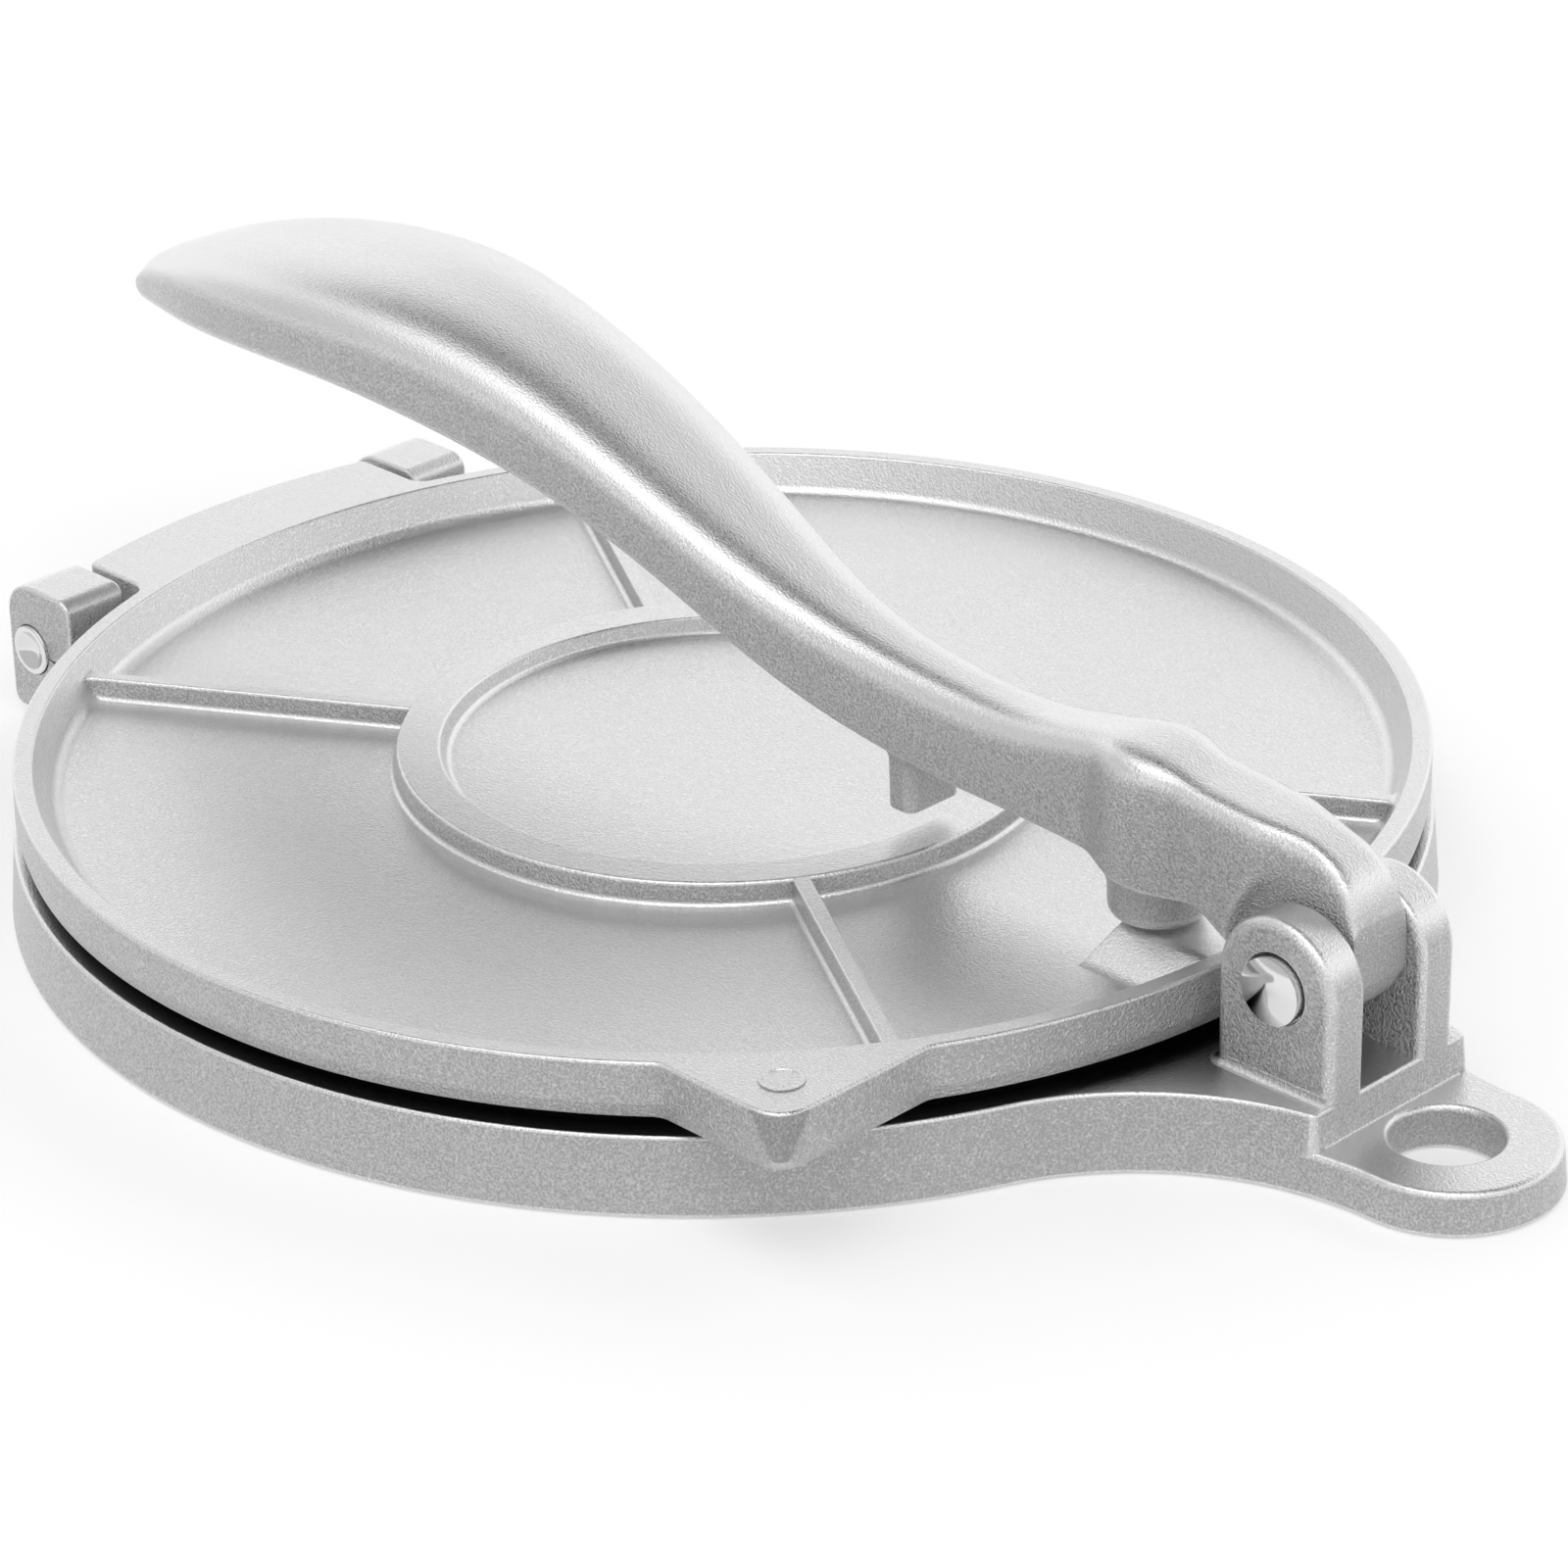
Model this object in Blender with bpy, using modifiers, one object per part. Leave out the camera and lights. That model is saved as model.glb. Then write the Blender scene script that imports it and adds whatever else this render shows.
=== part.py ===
"""A cast tortilla press with 200 mm plates, as six separate pieces.

A base casting carries a fork for the lever at one end and two hinge lugs at the other. The upper plate
turns on two short pins in the lugs, and the lever turns on a domed pin through the fork. A round presser
under the lever bears on a pad in the upper plate.

Metres, +Z up. +X runs from the plate hinge to the fork, and the lifting tab is on the -Y side. Every piece
is first described about the centre of the plates, on the table, and press_origin then moves the whole
press so that its origin is under the middle of its bounding box.
"""
import math

import bmesh
import bpy
import numpy as np
from mathutils import Matrix, Vector

mm = 0.001

# Clearances and cutters
running_gap = 0.3 * mm
overrun = 2.0 * mm
embed = 1.0 * mm
weld_distance = 0.01 * mm
plate_steps = 112
pin_steps = 28
arc_steps = 14

# Base casting, seen from above: a disc a little wider than the upper plate, a waisted neck and a lug
plate_radius = 100.0 * mm
base_lip = 0.6 * mm
base_height = 11.5 * mm
base_draft = 1.0 * mm
base_edge = 0.8 * mm
neck_fillet = 43.0 * mm
lug_radius = 14.2 * mm
lug_straight = 0.5 * mm
lug_height = 6.3 * mm
lug_hole_radius = 7.4 * mm

# Pressing face on the base, and the ribbed hollow under it
face_inset = 5.6 * mm
face_rise = 1.9 * mm
skirt_wall = 5.0 * mm
base_floor = 3.6 * mm
under_ring_outer = 46.0 * mm
under_ring_wall = 5.0 * mm
under_rib_width = 4.0 * mm
under_ring_depth = 3.3 * mm

# Upper plate
plate_height = 8.1 * mm
plate_edge = 0.4 * mm
rim_wall = 2.7 * mm
rim_foot_inset = 2.4 * mm
rim_foot_fillet = 0.9 * mm
floor_depth = 5.6 * mm
ring_outer = 46.3 * mm
ring_wall = 6.1 * mm
ring_foot = 0.5 * mm
ring_height = 3.3 * mm
well_depth = 2.4 * mm
rib_angle = math.radians(31.0)
rib_width = 2.4 * mm
rib_drop = 0.1 * mm

# Pad that the presser bears on
pad_height = 4.1 * mm
pad_half_width = 5.3 * mm
pad_flare = 5.2 * mm
pad_lead = 2.1 * mm
pad_end_slope = 1.2 * mm

# Lifting tab on the near side of the upper plate
tab_reach = 15.4 * mm
tab_angle = math.radians(40.75)
tab_tip_fillet = 5.0 * mm
root_depth = 1.4 * mm

# Plate hinge
hinge_reach = 8.7 * mm
hinge_drop = 2.0 * mm
hinge_pin_radius = 3.8 * mm
hinge_barrel_radius = 5.8 * mm
hinge_tab_overhang = 4.0 * mm
hinge_tab_half_width = 27.4 * mm
hinge_gap = 1.5 * mm
hinge_lug_width = 10.7 * mm
hinge_lug_radius = 7.5 * mm
hinge_lug_offset = 2.2 * mm
hinge_lug_rise = 2.7 * mm
hinge_lug_foot = 1.3 * mm
hinge_lug_reach = 7.5 * mm
hinge_pin_recess = 0.7 * mm
hinge_pin_depth = 14.5 * mm
hinge_dimple = 1.1 * mm

# Fork and lever pin
fork_gap = 3.4 * mm
pin_rise = 3.3 * mm
ear_radius = 9.6 * mm
ear_thickness = 6.8 * mm
slot_half_width = 5.6 * mm
ear_edge = 1.0 * mm
lever_pin_radius = 4.4 * mm
lever_pin_dome = 1.0 * mm

# Lever
lever_reach = 240.9 * mm
lever_rise = 50.0 * mm
grip_half_width = 19.4 * mm
arm_depth = 12.8 * mm
arm_wall = 3.5 * mm
arm_sections = 40
dome_points = 17
knuckle_radius = 6.9 * mm
knuckle_side_gap = 0.4 * mm
knuckle_top = 16.6 * mm
knuckle_edge = 1.2 * mm
boss_back = 30.6 * mm
boss_radius = 9.3 * mm
boss_top = 20.9 * mm
boss_edge = 1.3 * mm
boss_skirt = 3.2 * mm
presser_radius = 6.7 * mm
presser_edge = 1.2 * mm
nub_back = 73.1 * mm
nub_length = 5.0 * mm
nub_half_width = 5.0 * mm
nub_clearance = 3.0 * mm
nub_edge = 0.8 * mm

# Stations along the lever: reach share, half width share, rise share, depth share, squareness
lever_station_shares = (
    (1.000, 0.05, 0.620, 0.16, 2.0),
    (0.992, 0.14, 0.664, 0.28, 2.1),
    (0.973, 0.27, 0.730, 0.44, 2.3),
    (0.944, 0.48, 0.808, 0.62, 2.5),
    (0.902, 0.71, 0.883, 0.79, 2.7),
    (0.844, 0.92, 0.950, 0.93, 3.0),
    (0.769, 1.00, 0.986, 0.99, 3.1),
    (0.686, 0.94, 0.979, 1.04, 3.3),
    (0.603, 0.80, 0.902, 1.02, 3.5),
    (0.520, 0.68, 0.762, 0.91, 3.6),
    (0.437, 0.56, 0.583, 0.90, 3.6),
    (0.370, 0.44, 0.453, 0.96, 3.4),
    (0.304, 0.37, 0.383, 1.00, 3.3),
    (0.237, 0.36, 0.372, 1.03, 3.6),
    (0.179, 0.36, 0.393, 1.18, 4.8),
    (0.104, 0.35, 0.409, 1.33, 5.0),
)
hollow_start_share = 0.955
hollow_end_share = 0.205

# Side outline of the lever between the boss and the pin: places from the pin, as shares of the knuckle
# height above the pin, from the boss round the top to the back
knuckle_top_shares = ((-1.66, 1.15), (-0.98, 1.13), (-0.46, 1.08), (-0.14, 1.01), (0.12, 0.90),
                      (0.29, 0.76), (0.39, 0.58), (0.415, 0.33))
# The underside, from the pin's barrel back to the boss
knuckle_under_shares = ((-0.60, -0.17), (-0.85, 0.03), (-1.03, 0.13), (-1.45, 0.16), (-1.66, 0.16))

# Heights and places that follow from the sizes above
base_radius = plate_radius + base_lip
face_radius = base_radius - face_inset
neck_end_y = lug_radius + neck_fillet
neck_end_x = math.sqrt((base_radius + neck_fillet) ** 2 - neck_end_y ** 2)
lug_centre_x = neck_end_x + lug_straight
face_z = base_height + face_rise
plate_bottom = face_z + running_gap
plate_top = plate_bottom + plate_height
floor_z = plate_top - floor_depth
ring_z = floor_z + ring_height
pad_z = floor_z + pad_height
rim_inner = plate_radius - rim_wall
base_hollow_z = face_z - base_floor
hinge_x = plate_radius + hinge_reach
hinge_z = plate_bottom - hinge_drop
hinge_tab_radius = hinge_x + hinge_tab_overhang
pin_x = plate_radius + fork_gap + ear_radius
pin_z = plate_top + pin_rise
presser_x = pin_x - boss_back
ear_outer = slot_half_width + ear_thickness
lever_tip_x = pin_x - lever_reach
lug_tip_x = lug_centre_x + lug_radius + base_draft
hinge_lug_inner = hinge_tab_half_width + hinge_gap
hinge_lug_outer = hinge_lug_inner + hinge_lug_width
middle_x = (lever_tip_x + lug_tip_x) / 2


def clear_scene():
    """Remove every object, so that the script starts from nothing."""
    for obj in list(bpy.data.objects):
        bpy.data.objects.remove(obj, do_unlink=True)


def new_collection(name):
    """Return a new collection linked to the scene."""
    collection = bpy.data.collections.new(name)
    bpy.context.scene.collection.children.link(collection)
    return collection


def metal(name, grey, roughness):
    """Return a plain metal of one grey."""
    material = bpy.data.materials.new(name)
    material.use_nodes = True
    shader = material.node_tree.nodes["Principled BSDF"]
    shader.inputs["Base Color"].default_value = (grey, grey, grey, 1)
    shader.inputs["Metallic"].default_value = 1
    shader.inputs["Roughness"].default_value = roughness
    return material


class Press:
    """The collections, the frames that pieces hang on, and the tools that cut or join them."""

    def __init__(self):
        self.parts = new_collection("tortilla_press")
        self.cutters = new_collection("cutters")
        self.origin = self.frame("press_origin", Vector((0, 0, 0)), None)
        self.origin.location = Vector((-middle_x, 0, 0))

    def frame(self, name, place, parent):
        """Return an empty at a place given from the plates' centre."""
        empty = bpy.data.objects.new(name, None)
        empty.empty_display_size = embed
        self.cutters.objects.link(empty)
        empty.location = place
        empty.parent = parent
        return empty

    def piece(self, name, mesh, frame, material):
        """Return a piece of the press whose mesh is described from the plates' centre."""
        return self.add(name, mesh, frame, self.parts, material)

    def tool(self, name, mesh, frame):
        """Return a hidden solid that cuts or joins a piece."""
        obj = self.add(name, mesh, frame, self.cutters, None)
        obj.hide_render = True
        obj.display_type = "WIRE"
        return obj

    def add(self, name, mesh, frame, collection, material):
        """Link a mesh as an object that hangs on a frame and lies where it was described."""
        obj = bpy.data.objects.new(name, mesh)
        collection.objects.link(obj)
        obj.parent = frame
        if frame is not self.origin:
            obj.location = -frame.location
        if material:
            mesh.materials.append(material)
        return obj


def combine(target, tool, operation):
    """Join a tool to a piece, or cut it out of the piece."""
    modifier = target.modifiers.new(tool.name, "BOOLEAN")
    modifier.operation = operation
    modifier.solver = "EXACT"
    modifier.object = tool


def round_edges(obj, width, segments=2):
    """Round the sharp edges of an object."""
    modifier = obj.modifiers.new("rounded_edges", "BEVEL")
    modifier.width = width
    modifier.segments = segments
    modifier.limit_method = "ANGLE"
    modifier.angle_limit = math.radians(40)


def shade(obj):
    """Shade round faces smooth and keep the edges that are sharp."""
    obj.data.shade_smooth()
    obj.data.set_sharp_from_angle(angle=math.radians(35))


def arc(centre, radius, start, end, steps):
    """Return points along an arc, both ends included, angles in radians."""
    angles = np.linspace(start, end, steps + 1)
    return [(centre[0] + radius * math.cos(a), centre[1] + radius * math.sin(a)) for a in angles]


def loft(name, loops):
    """Return a closed mesh through loops of equal point counts, capped at both ends."""
    bm = bmesh.new()
    rows = [[bm.verts.new(point) for point in loop] for loop in loops]
    count = len(rows[0])
    for low, high in zip(rows[:-1], rows[1:]):
        for i in range(count):
            j = (i + 1) % count
            bm.faces.new((low[i], low[j], high[j], high[i]))
    bm.faces.new(rows[0])
    bm.faces.new(rows[-1])
    bmesh.ops.recalc_face_normals(bm, faces=bm.faces)
    mesh = bpy.data.meshes.new(name)
    bm.to_mesh(mesh)
    bm.free()
    return mesh


def slab(name, outline, low, high, upright=False):
    """Return a flat outline made solid between two levels.

    The outline lies in XY and the levels are heights. An upright one lies in XZ, between two values of Y.
    """
    curve = bpy.data.curves.new(name, "CURVE")
    curve.dimensions = "2D"
    curve.fill_mode = "BOTH"
    curve.extrude = (high - low) / 2
    spline = curve.splines.new("POLY")
    spline.points.add(len(outline) - 1)
    for point, place in zip(spline.points, outline):
        point.co = (place[0], place[1], 0, 1)
    spline.use_cyclic_u = True
    guide = bpy.data.objects.new(name, curve)
    bpy.context.scene.collection.objects.link(guide)
    evaluated = guide.evaluated_get(bpy.context.evaluated_depsgraph_get())
    mesh = bpy.data.meshes.new_from_object(evaluated)
    bpy.data.objects.remove(guide, do_unlink=True)
    bm = bmesh.new()
    bm.from_mesh(mesh)
    bmesh.ops.remove_doubles(bm, verts=bm.verts, dist=weld_distance)
    middle = (high + low) / 2
    turn = Matrix.Rotation(math.pi / 2, 4, "X") if upright else Matrix.Identity(4)
    shift = Matrix.Translation((0, middle, 0) if upright else (0, 0, middle))
    bmesh.ops.transform(bm, matrix=shift @ turn, verts=bm.verts)
    bmesh.ops.dissolve_limit(bm, angle_limit=math.radians(1), verts=bm.verts, edges=bm.edges)
    bmesh.ops.recalc_face_normals(bm, faces=bm.faces)
    bm.to_mesh(mesh)
    bm.free()
    return mesh


def merge(name, meshes):
    """Return one mesh that holds several separate bodies."""
    bm = bmesh.new()
    for mesh in meshes:
        bm.from_mesh(mesh)
    result = bpy.data.meshes.new(name)
    bm.to_mesh(result)
    bm.free()
    return result


def box(name, low, high, turn=0.0):
    """Return a box between two corners, turned about Z through the plates' centre."""
    size = [b - a for a, b in zip(low, high)]
    centre = [(a + b) / 2 for a, b in zip(low, high)]
    bm = bmesh.new()
    bmesh.ops.create_cube(bm, size=1)
    bmesh.ops.scale(bm, vec=size, verts=bm.verts)
    bmesh.ops.translate(bm, vec=centre, verts=bm.verts)
    bmesh.ops.rotate(bm, matrix=Matrix.Rotation(turn, 3, "Z"), cent=(0, 0, 0), verts=bm.verts)
    mesh = bpy.data.meshes.new(name)
    bm.to_mesh(mesh)
    bm.free()
    return mesh


def rod(name, radius, low, high, place, axis="Y"):
    """Return a cylinder between two values along Y or Z, at its place on the other two axes."""
    bm = bmesh.new()
    bmesh.ops.create_cone(bm, cap_ends=True, segments=pin_steps, radius1=radius, radius2=radius,
                          depth=high - low)
    middle = (high + low) / 2
    if axis == "Y":
        bmesh.ops.rotate(bm, matrix=Matrix.Rotation(math.pi / 2, 3, "X"), cent=(0, 0, 0), verts=bm.verts)
        bmesh.ops.translate(bm, vec=(place[0], middle, place[1]), verts=bm.verts)
    else:
        bmesh.ops.translate(bm, vec=(place[0], place[1], middle), verts=bm.verts)
    mesh = bpy.data.meshes.new(name)
    bm.to_mesh(mesh)
    bm.free()
    return mesh


def outline_mesh(name, profile, closed=False):
    """Return the edges of a profile of radius and height, ready to be turned about Z.

    A profile that never meets the axis is a closed one.
    """
    mesh = bpy.data.meshes.new(name)
    points = [(radius, 0, height) for radius, height in profile]
    edges = [(i, i + 1) for i in range(len(points) - 1)]
    if closed:
        edges.append((len(points) - 1, 0))
    mesh.from_pydata(points, edges, [])
    return mesh


def spin(obj, steps):
    """Turn an object's profile about Z."""
    modifier = obj.modifiers.new("turned", "SCREW")
    modifier.axis = "Z"
    modifier.angle = 2 * math.pi
    modifier.steps = steps
    modifier.render_steps = steps
    modifier.use_merge_vertices = True
    modifier.merge_threshold = weld_distance
    modifier.use_smooth_shade = True


def base_outline(grow):
    """Return the plan outline of the base, grown outwards: disc, waisted neck and round lug.

    The waist is an arc that touches both the disc and the straight side of the lug.
    """
    meet = math.atan2(neck_end_y, neck_end_x)
    lower = arc((0, 0), base_radius + grow, -math.pi, -meet, plate_steps // 2)[1:]
    lower += arc((neck_end_x, -neck_end_y), neck_fillet - grow, math.pi - meet, math.pi / 2, arc_steps)[1:]
    lower += arc((lug_centre_x, 0), lug_radius + grow, -math.pi / 2, 0, arc_steps)
    upper = [(x, -y) for x, y in reversed(lower[:-1])]
    return lower + upper + [(-base_radius - grow, 0)]


def base_body():
    """Return the drafted body of the base with its lower and upper edges broken."""
    share = base_edge / base_height
    levels = ((0, base_draft - base_edge / 2), (base_edge, base_draft * (1 - share)),
              (base_height - base_edge, base_draft * share), (base_height, -base_edge / 2))
    return loft("base", [[(x, y, z) for x, y in base_outline(grow)] for z, grow in levels])


def ear_outline():
    """Return the side outline of a fork ear: square foot, round top about the lever pin."""
    foot = base_height - embed
    low = (pin_x - ear_radius, foot)
    return [(pin_x + ear_radius, foot)] + arc((pin_x, pin_z), ear_radius, 0, math.pi, arc_steps) + [low]


def hinge_lug_outline():
    """Return the side outline of a hinge lug: a block with a round top, joined to the disc."""
    centre = (-hinge_x + hinge_lug_offset, hinge_z + hinge_lug_rise)
    back = centre[0] - hinge_lug_radius
    inner = centre[0] + hinge_lug_radius
    corner = hinge_lug_foot + hinge_lug_offset
    shoulder = base_height - embed
    outline = [(inner + hinge_lug_reach, hinge_lug_foot), (back + hinge_lug_foot, hinge_lug_foot)]
    outline += [(back - embed / 2, corner)]
    outline += list(reversed(arc(centre, hinge_lug_radius, 0, math.pi, arc_steps)))
    return outline + [(inner, shoulder), (inner + hinge_lug_reach, shoulder)]


def hollow_profile():
    """Return the turned profile of the hollow under the base, with a ring left standing in it."""
    well = under_ring_outer - under_ring_wall
    rim = base_radius - skirt_wall
    ring_bottom = base_hollow_z - under_ring_depth
    return (
        (0, base_hollow_z), (well - ring_foot, base_hollow_z), (well, ring_bottom),
        (under_ring_outer, ring_bottom), (under_ring_outer + ring_foot, base_hollow_z),
        (rim - base_draft, base_hollow_z), (rim, -overrun), (0, -overrun),
    )


def under_ribs():
    """Return the four ribs in the hollow under the base."""
    start = under_ring_outer - under_ring_wall / 2
    end = base_radius - skirt_wall / 2
    half = under_rib_width / 2
    low = (start, -half, base_hollow_z - under_ring_depth + rib_drop)
    high = (end, half, base_hollow_z + embed)
    turns = (rib_angle, math.pi - rib_angle, math.pi + rib_angle, -rib_angle)
    return merge("under_ribs", [box("rib", low, high, turn) for turn in turns])


def build_base(press, material):
    """Build the base casting."""
    base = press.piece("base", base_body(), press.origin, material)
    face = press.tool("pressing_face", outline_mesh("pressing_face", (
        (0, face_z), (face_radius - base_edge, face_z), (face_radius, face_z - base_edge),
        (face_radius, base_height - embed), (0, base_height - embed))), press.origin)
    spin(face, plate_steps)
    combine(base, face, "UNION")

    hollow = press.tool("under_hollow", outline_mesh("under_hollow", hollow_profile()), press.origin)
    spin(hollow, plate_steps)
    combine(base, hollow, "DIFFERENCE")
    combine(base, press.tool("under_ribs", under_ribs(), press.origin), "UNION")

    ears = [slab("ear", ear_outline(), side * ear_outer - (ear_thickness if side > 0 else 0),
                 side * ear_outer + (0 if side > 0 else ear_thickness), upright=True) for side in (-1, 1)]
    ear_pair = press.tool("fork_ears", merge("fork_ears", ears), press.origin)
    round_edges(ear_pair, ear_edge)
    combine(base, ear_pair, "UNION")

    lugs = [slab("lug", hinge_lug_outline(), low, low + hinge_lug_width, upright=True)
            for low in (-hinge_lug_outer, hinge_lug_inner)]
    lug_pair = press.tool("hinge_lugs", merge("hinge_lugs", lugs), press.origin)
    round_edges(lug_pair, ear_edge)
    combine(base, lug_pair, "UNION")

    step = box("lug_step", (pin_x + ear_radius, -base_radius, lug_height),
               (lug_tip_x + overrun, base_radius, pin_z + ear_radius))
    combine(base, press.tool("lug_step", step, press.origin), "DIFFERENCE")
    hole = rod("hanging_hole", lug_hole_radius, -overrun, lug_height + overrun, (lug_centre_x, 0), "Z")
    combine(base, press.tool("hanging_hole", hole, press.origin), "DIFFERENCE")
    past = ear_outer + overrun
    bore = rod("fork_bore", lever_pin_radius + running_gap, -past, past, (pin_x, pin_z))
    combine(base, press.tool("fork_bore", bore, press.origin), "DIFFERENCE")
    past = hinge_lug_outer + overrun
    bore = rod("lug_bore", hinge_pin_radius + running_gap, -past, past, (-hinge_x, hinge_z))
    combine(base, press.tool("lug_bore", bore, press.origin), "DIFFERENCE")
    return base


def plate_profile():
    """Return the turned profile of the upper plate, from the centre of its well round to the underside."""
    ring_inner = ring_outer - ring_wall
    well_z = ring_z - well_depth
    foot = rim_inner - rim_foot_inset
    return (
        (0, well_z), (ring_inner - ring_foot - ring_foot, well_z),
        (ring_inner - ring_foot, well_z + ring_foot), (ring_inner, ring_z), (ring_outer, ring_z),
        (ring_outer + ring_foot, floor_z + ring_foot), (ring_outer + ring_foot + ring_foot, floor_z),
        (foot - rim_foot_fillet, floor_z), (foot, floor_z + rim_foot_fillet), (rim_inner, plate_top),
        (plate_radius, plate_top), (plate_radius, plate_bottom + plate_edge),
        (plate_radius - plate_edge, plate_bottom), (0, plate_bottom),
    )


def lifting_tab_outline():
    """Return the plan outline of the lifting tab: a square corner with a round tip, rooted in the rim."""
    root = plate_radius - root_depth
    reach_x = (plate_radius + tab_reach) * math.cos(tab_angle)
    reach_y = (plate_radius + tab_reach) * math.sin(tab_angle)
    start = -math.acos(reach_x / root)
    end = -math.asin(reach_y / root)
    tip = (reach_x - tab_tip_fillet, tab_tip_fillet - reach_y)
    return arc((0, 0), root, start, end, arc_steps // 2) + arc(tip, tab_tip_fillet, -math.pi / 2, 0,
                                                               arc_steps // 2)


def hinge_tab_outline():
    """Return the plan outline of the hinge tab: an arc wider than the rim, between the lugs."""
    inner = plate_radius - root_depth
    far = math.asin(hinge_tab_half_width / hinge_tab_radius)
    near = math.asin(hinge_tab_half_width / inner)
    outline = arc((0, 0), hinge_tab_radius, math.pi - far, math.pi + far, arc_steps)
    return outline + arc((0, 0), inner, math.pi + near, math.pi - near, arc_steps)


def plate_ribs():
    """Return the four ribs between the ring and the rim."""
    half = rib_width / 2
    low = (ring_outer - ring_wall / 2, -half, floor_z - embed)
    high = (rim_inner - rim_foot_fillet / 2, half, ring_z - rib_drop)
    turns = (rib_angle, math.pi - rib_angle, math.pi + rib_angle, -rib_angle)
    return merge("plate_ribs", [box("rib", low, high, turn) for turn in turns])


def pad_mesh():
    """Return the pad under the presser, with a flared foot."""
    end = plate_radius - root_depth
    loops = []
    start_x = presser_x - pad_lead
    for z, start, half in ((floor_z - embed, start_x - pad_end_slope, pad_half_width + pad_flare),
                           (pad_z, start_x, pad_half_width)):
        stop = math.sqrt(end ** 2 - half ** 2)
        loops.append([(start, -half, z), (stop, -half, z), (stop, half, z), (start, half, z)])
    return loft("pad", loops)


def build_plate(press, frame, material):
    """Build the upper plate."""
    plate = press.piece("upper_plate", outline_mesh("upper_plate", plate_profile()), frame, material)
    spin(plate, plate_steps)
    combine(plate, press.tool("plate_ribs", plate_ribs(), frame), "UNION")
    combine(plate, press.tool("pad", pad_mesh(), frame), "UNION")
    low = plate_bottom + plate_edge / 2
    high = plate_top - rib_drop
    tab = slab("lifting_tab", lifting_tab_outline(), low, high)
    combine(plate, press.tool("lifting_tab", tab, frame), "UNION")
    tab = slab("hinge_tab", hinge_tab_outline(), low, high)
    combine(plate, press.tool("hinge_tab", tab, frame), "UNION")
    reach = hinge_tab_half_width
    barrel = rod("hinge_barrel", hinge_barrel_radius, -reach, reach, (-hinge_x, hinge_z))
    combine(plate, press.tool("hinge_barrel", barrel, frame), "UNION")
    bores = [rod("bore", hinge_pin_radius + running_gap, low, high, (-hinge_x, hinge_z))
             for low, high in ((-reach - overrun, -reach + hinge_pin_depth),
                               (reach - hinge_pin_depth, reach + overrun))]
    combine(plate, press.tool("plate_bores", merge("plate_bores", bores), frame), "DIFFERENCE")
    return plate


def lever_sections(start_share, end_share, inset):
    """Return loops along the lever between two shares of its reach, each a dome over a flat foot.

    The stations are joined by smooth curves. An inset of zero gives the outside. Any other gives the
    hollow below the lever, a wall thickness inside it and open downwards.
    """
    table = np.array(lever_station_shares)[::-1]
    shares = np.linspace(end_share, start_share, arm_sections)
    slopes = np.gradient(table[:, 1:], table[:, 0], axis=0)
    index = np.clip(np.searchsorted(table[:, 0], shares) - 1, 0, len(table) - 2)
    gap = table[index + 1, 0] - table[index, 0]
    t = ((shares - table[index, 0]) / gap)[:, None]
    gap = gap[:, None]
    values = (table[index, 1:] * (1 + 2 * t) * (1 - t) ** 2 + slopes[index] * gap * t * (1 - t) ** 2
              + table[index + 1, 1:] * t ** 2 * (3 - 2 * t) + slopes[index + 1] * gap * t ** 2 * (t - 1))
    angles = np.linspace(0, math.pi, dome_points)
    loops = []
    for share, (width, rise, depth, square) in zip(shares, values):
        x = pin_x - share * lever_reach
        top = pin_z + rise * lever_rise - inset
        foot = pin_z + rise * lever_rise - depth * arm_depth
        half = width * grip_half_width - inset
        if inset:
            foot -= overrun
        across = np.sign(np.cos(angles)) * np.abs(np.cos(angles)) ** (2 / square)
        up = np.abs(np.sin(angles)) ** (2 / square)
        loops.append([(x, -half * a, foot + (top - foot) * u) for a, u in zip(across, up)])
    return loops


def knuckle_outline():
    """Return the side outline of the lever's end, from the boss over the pin and back underneath."""
    top = [(pin_x + x * knuckle_top, pin_z + z * knuckle_top) for x, z in knuckle_top_shares]
    under = [(pin_x + x * knuckle_top, pin_z + z * knuckle_top) for x, z in knuckle_under_shares]
    barrel = arc((pin_x, pin_z), knuckle_radius, 0, -0.72 * math.pi, arc_steps)
    return top + barrel + under


def boss_profile(presser_z):
    """Return the turned profile of the boss and the presser under it."""
    top = pin_z + boss_top
    skirt = pin_z + boss_skirt
    return (
        (0, top), (boss_radius - boss_edge, top), (boss_radius, top - boss_edge),
        (boss_radius - boss_edge / 2, skirt), (presser_radius + presser_edge / 4, skirt - boss_edge / 2),
        (presser_radius, presser_z + presser_edge), (presser_radius - presser_edge, presser_z),
        (0, presser_z),
    )


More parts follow.
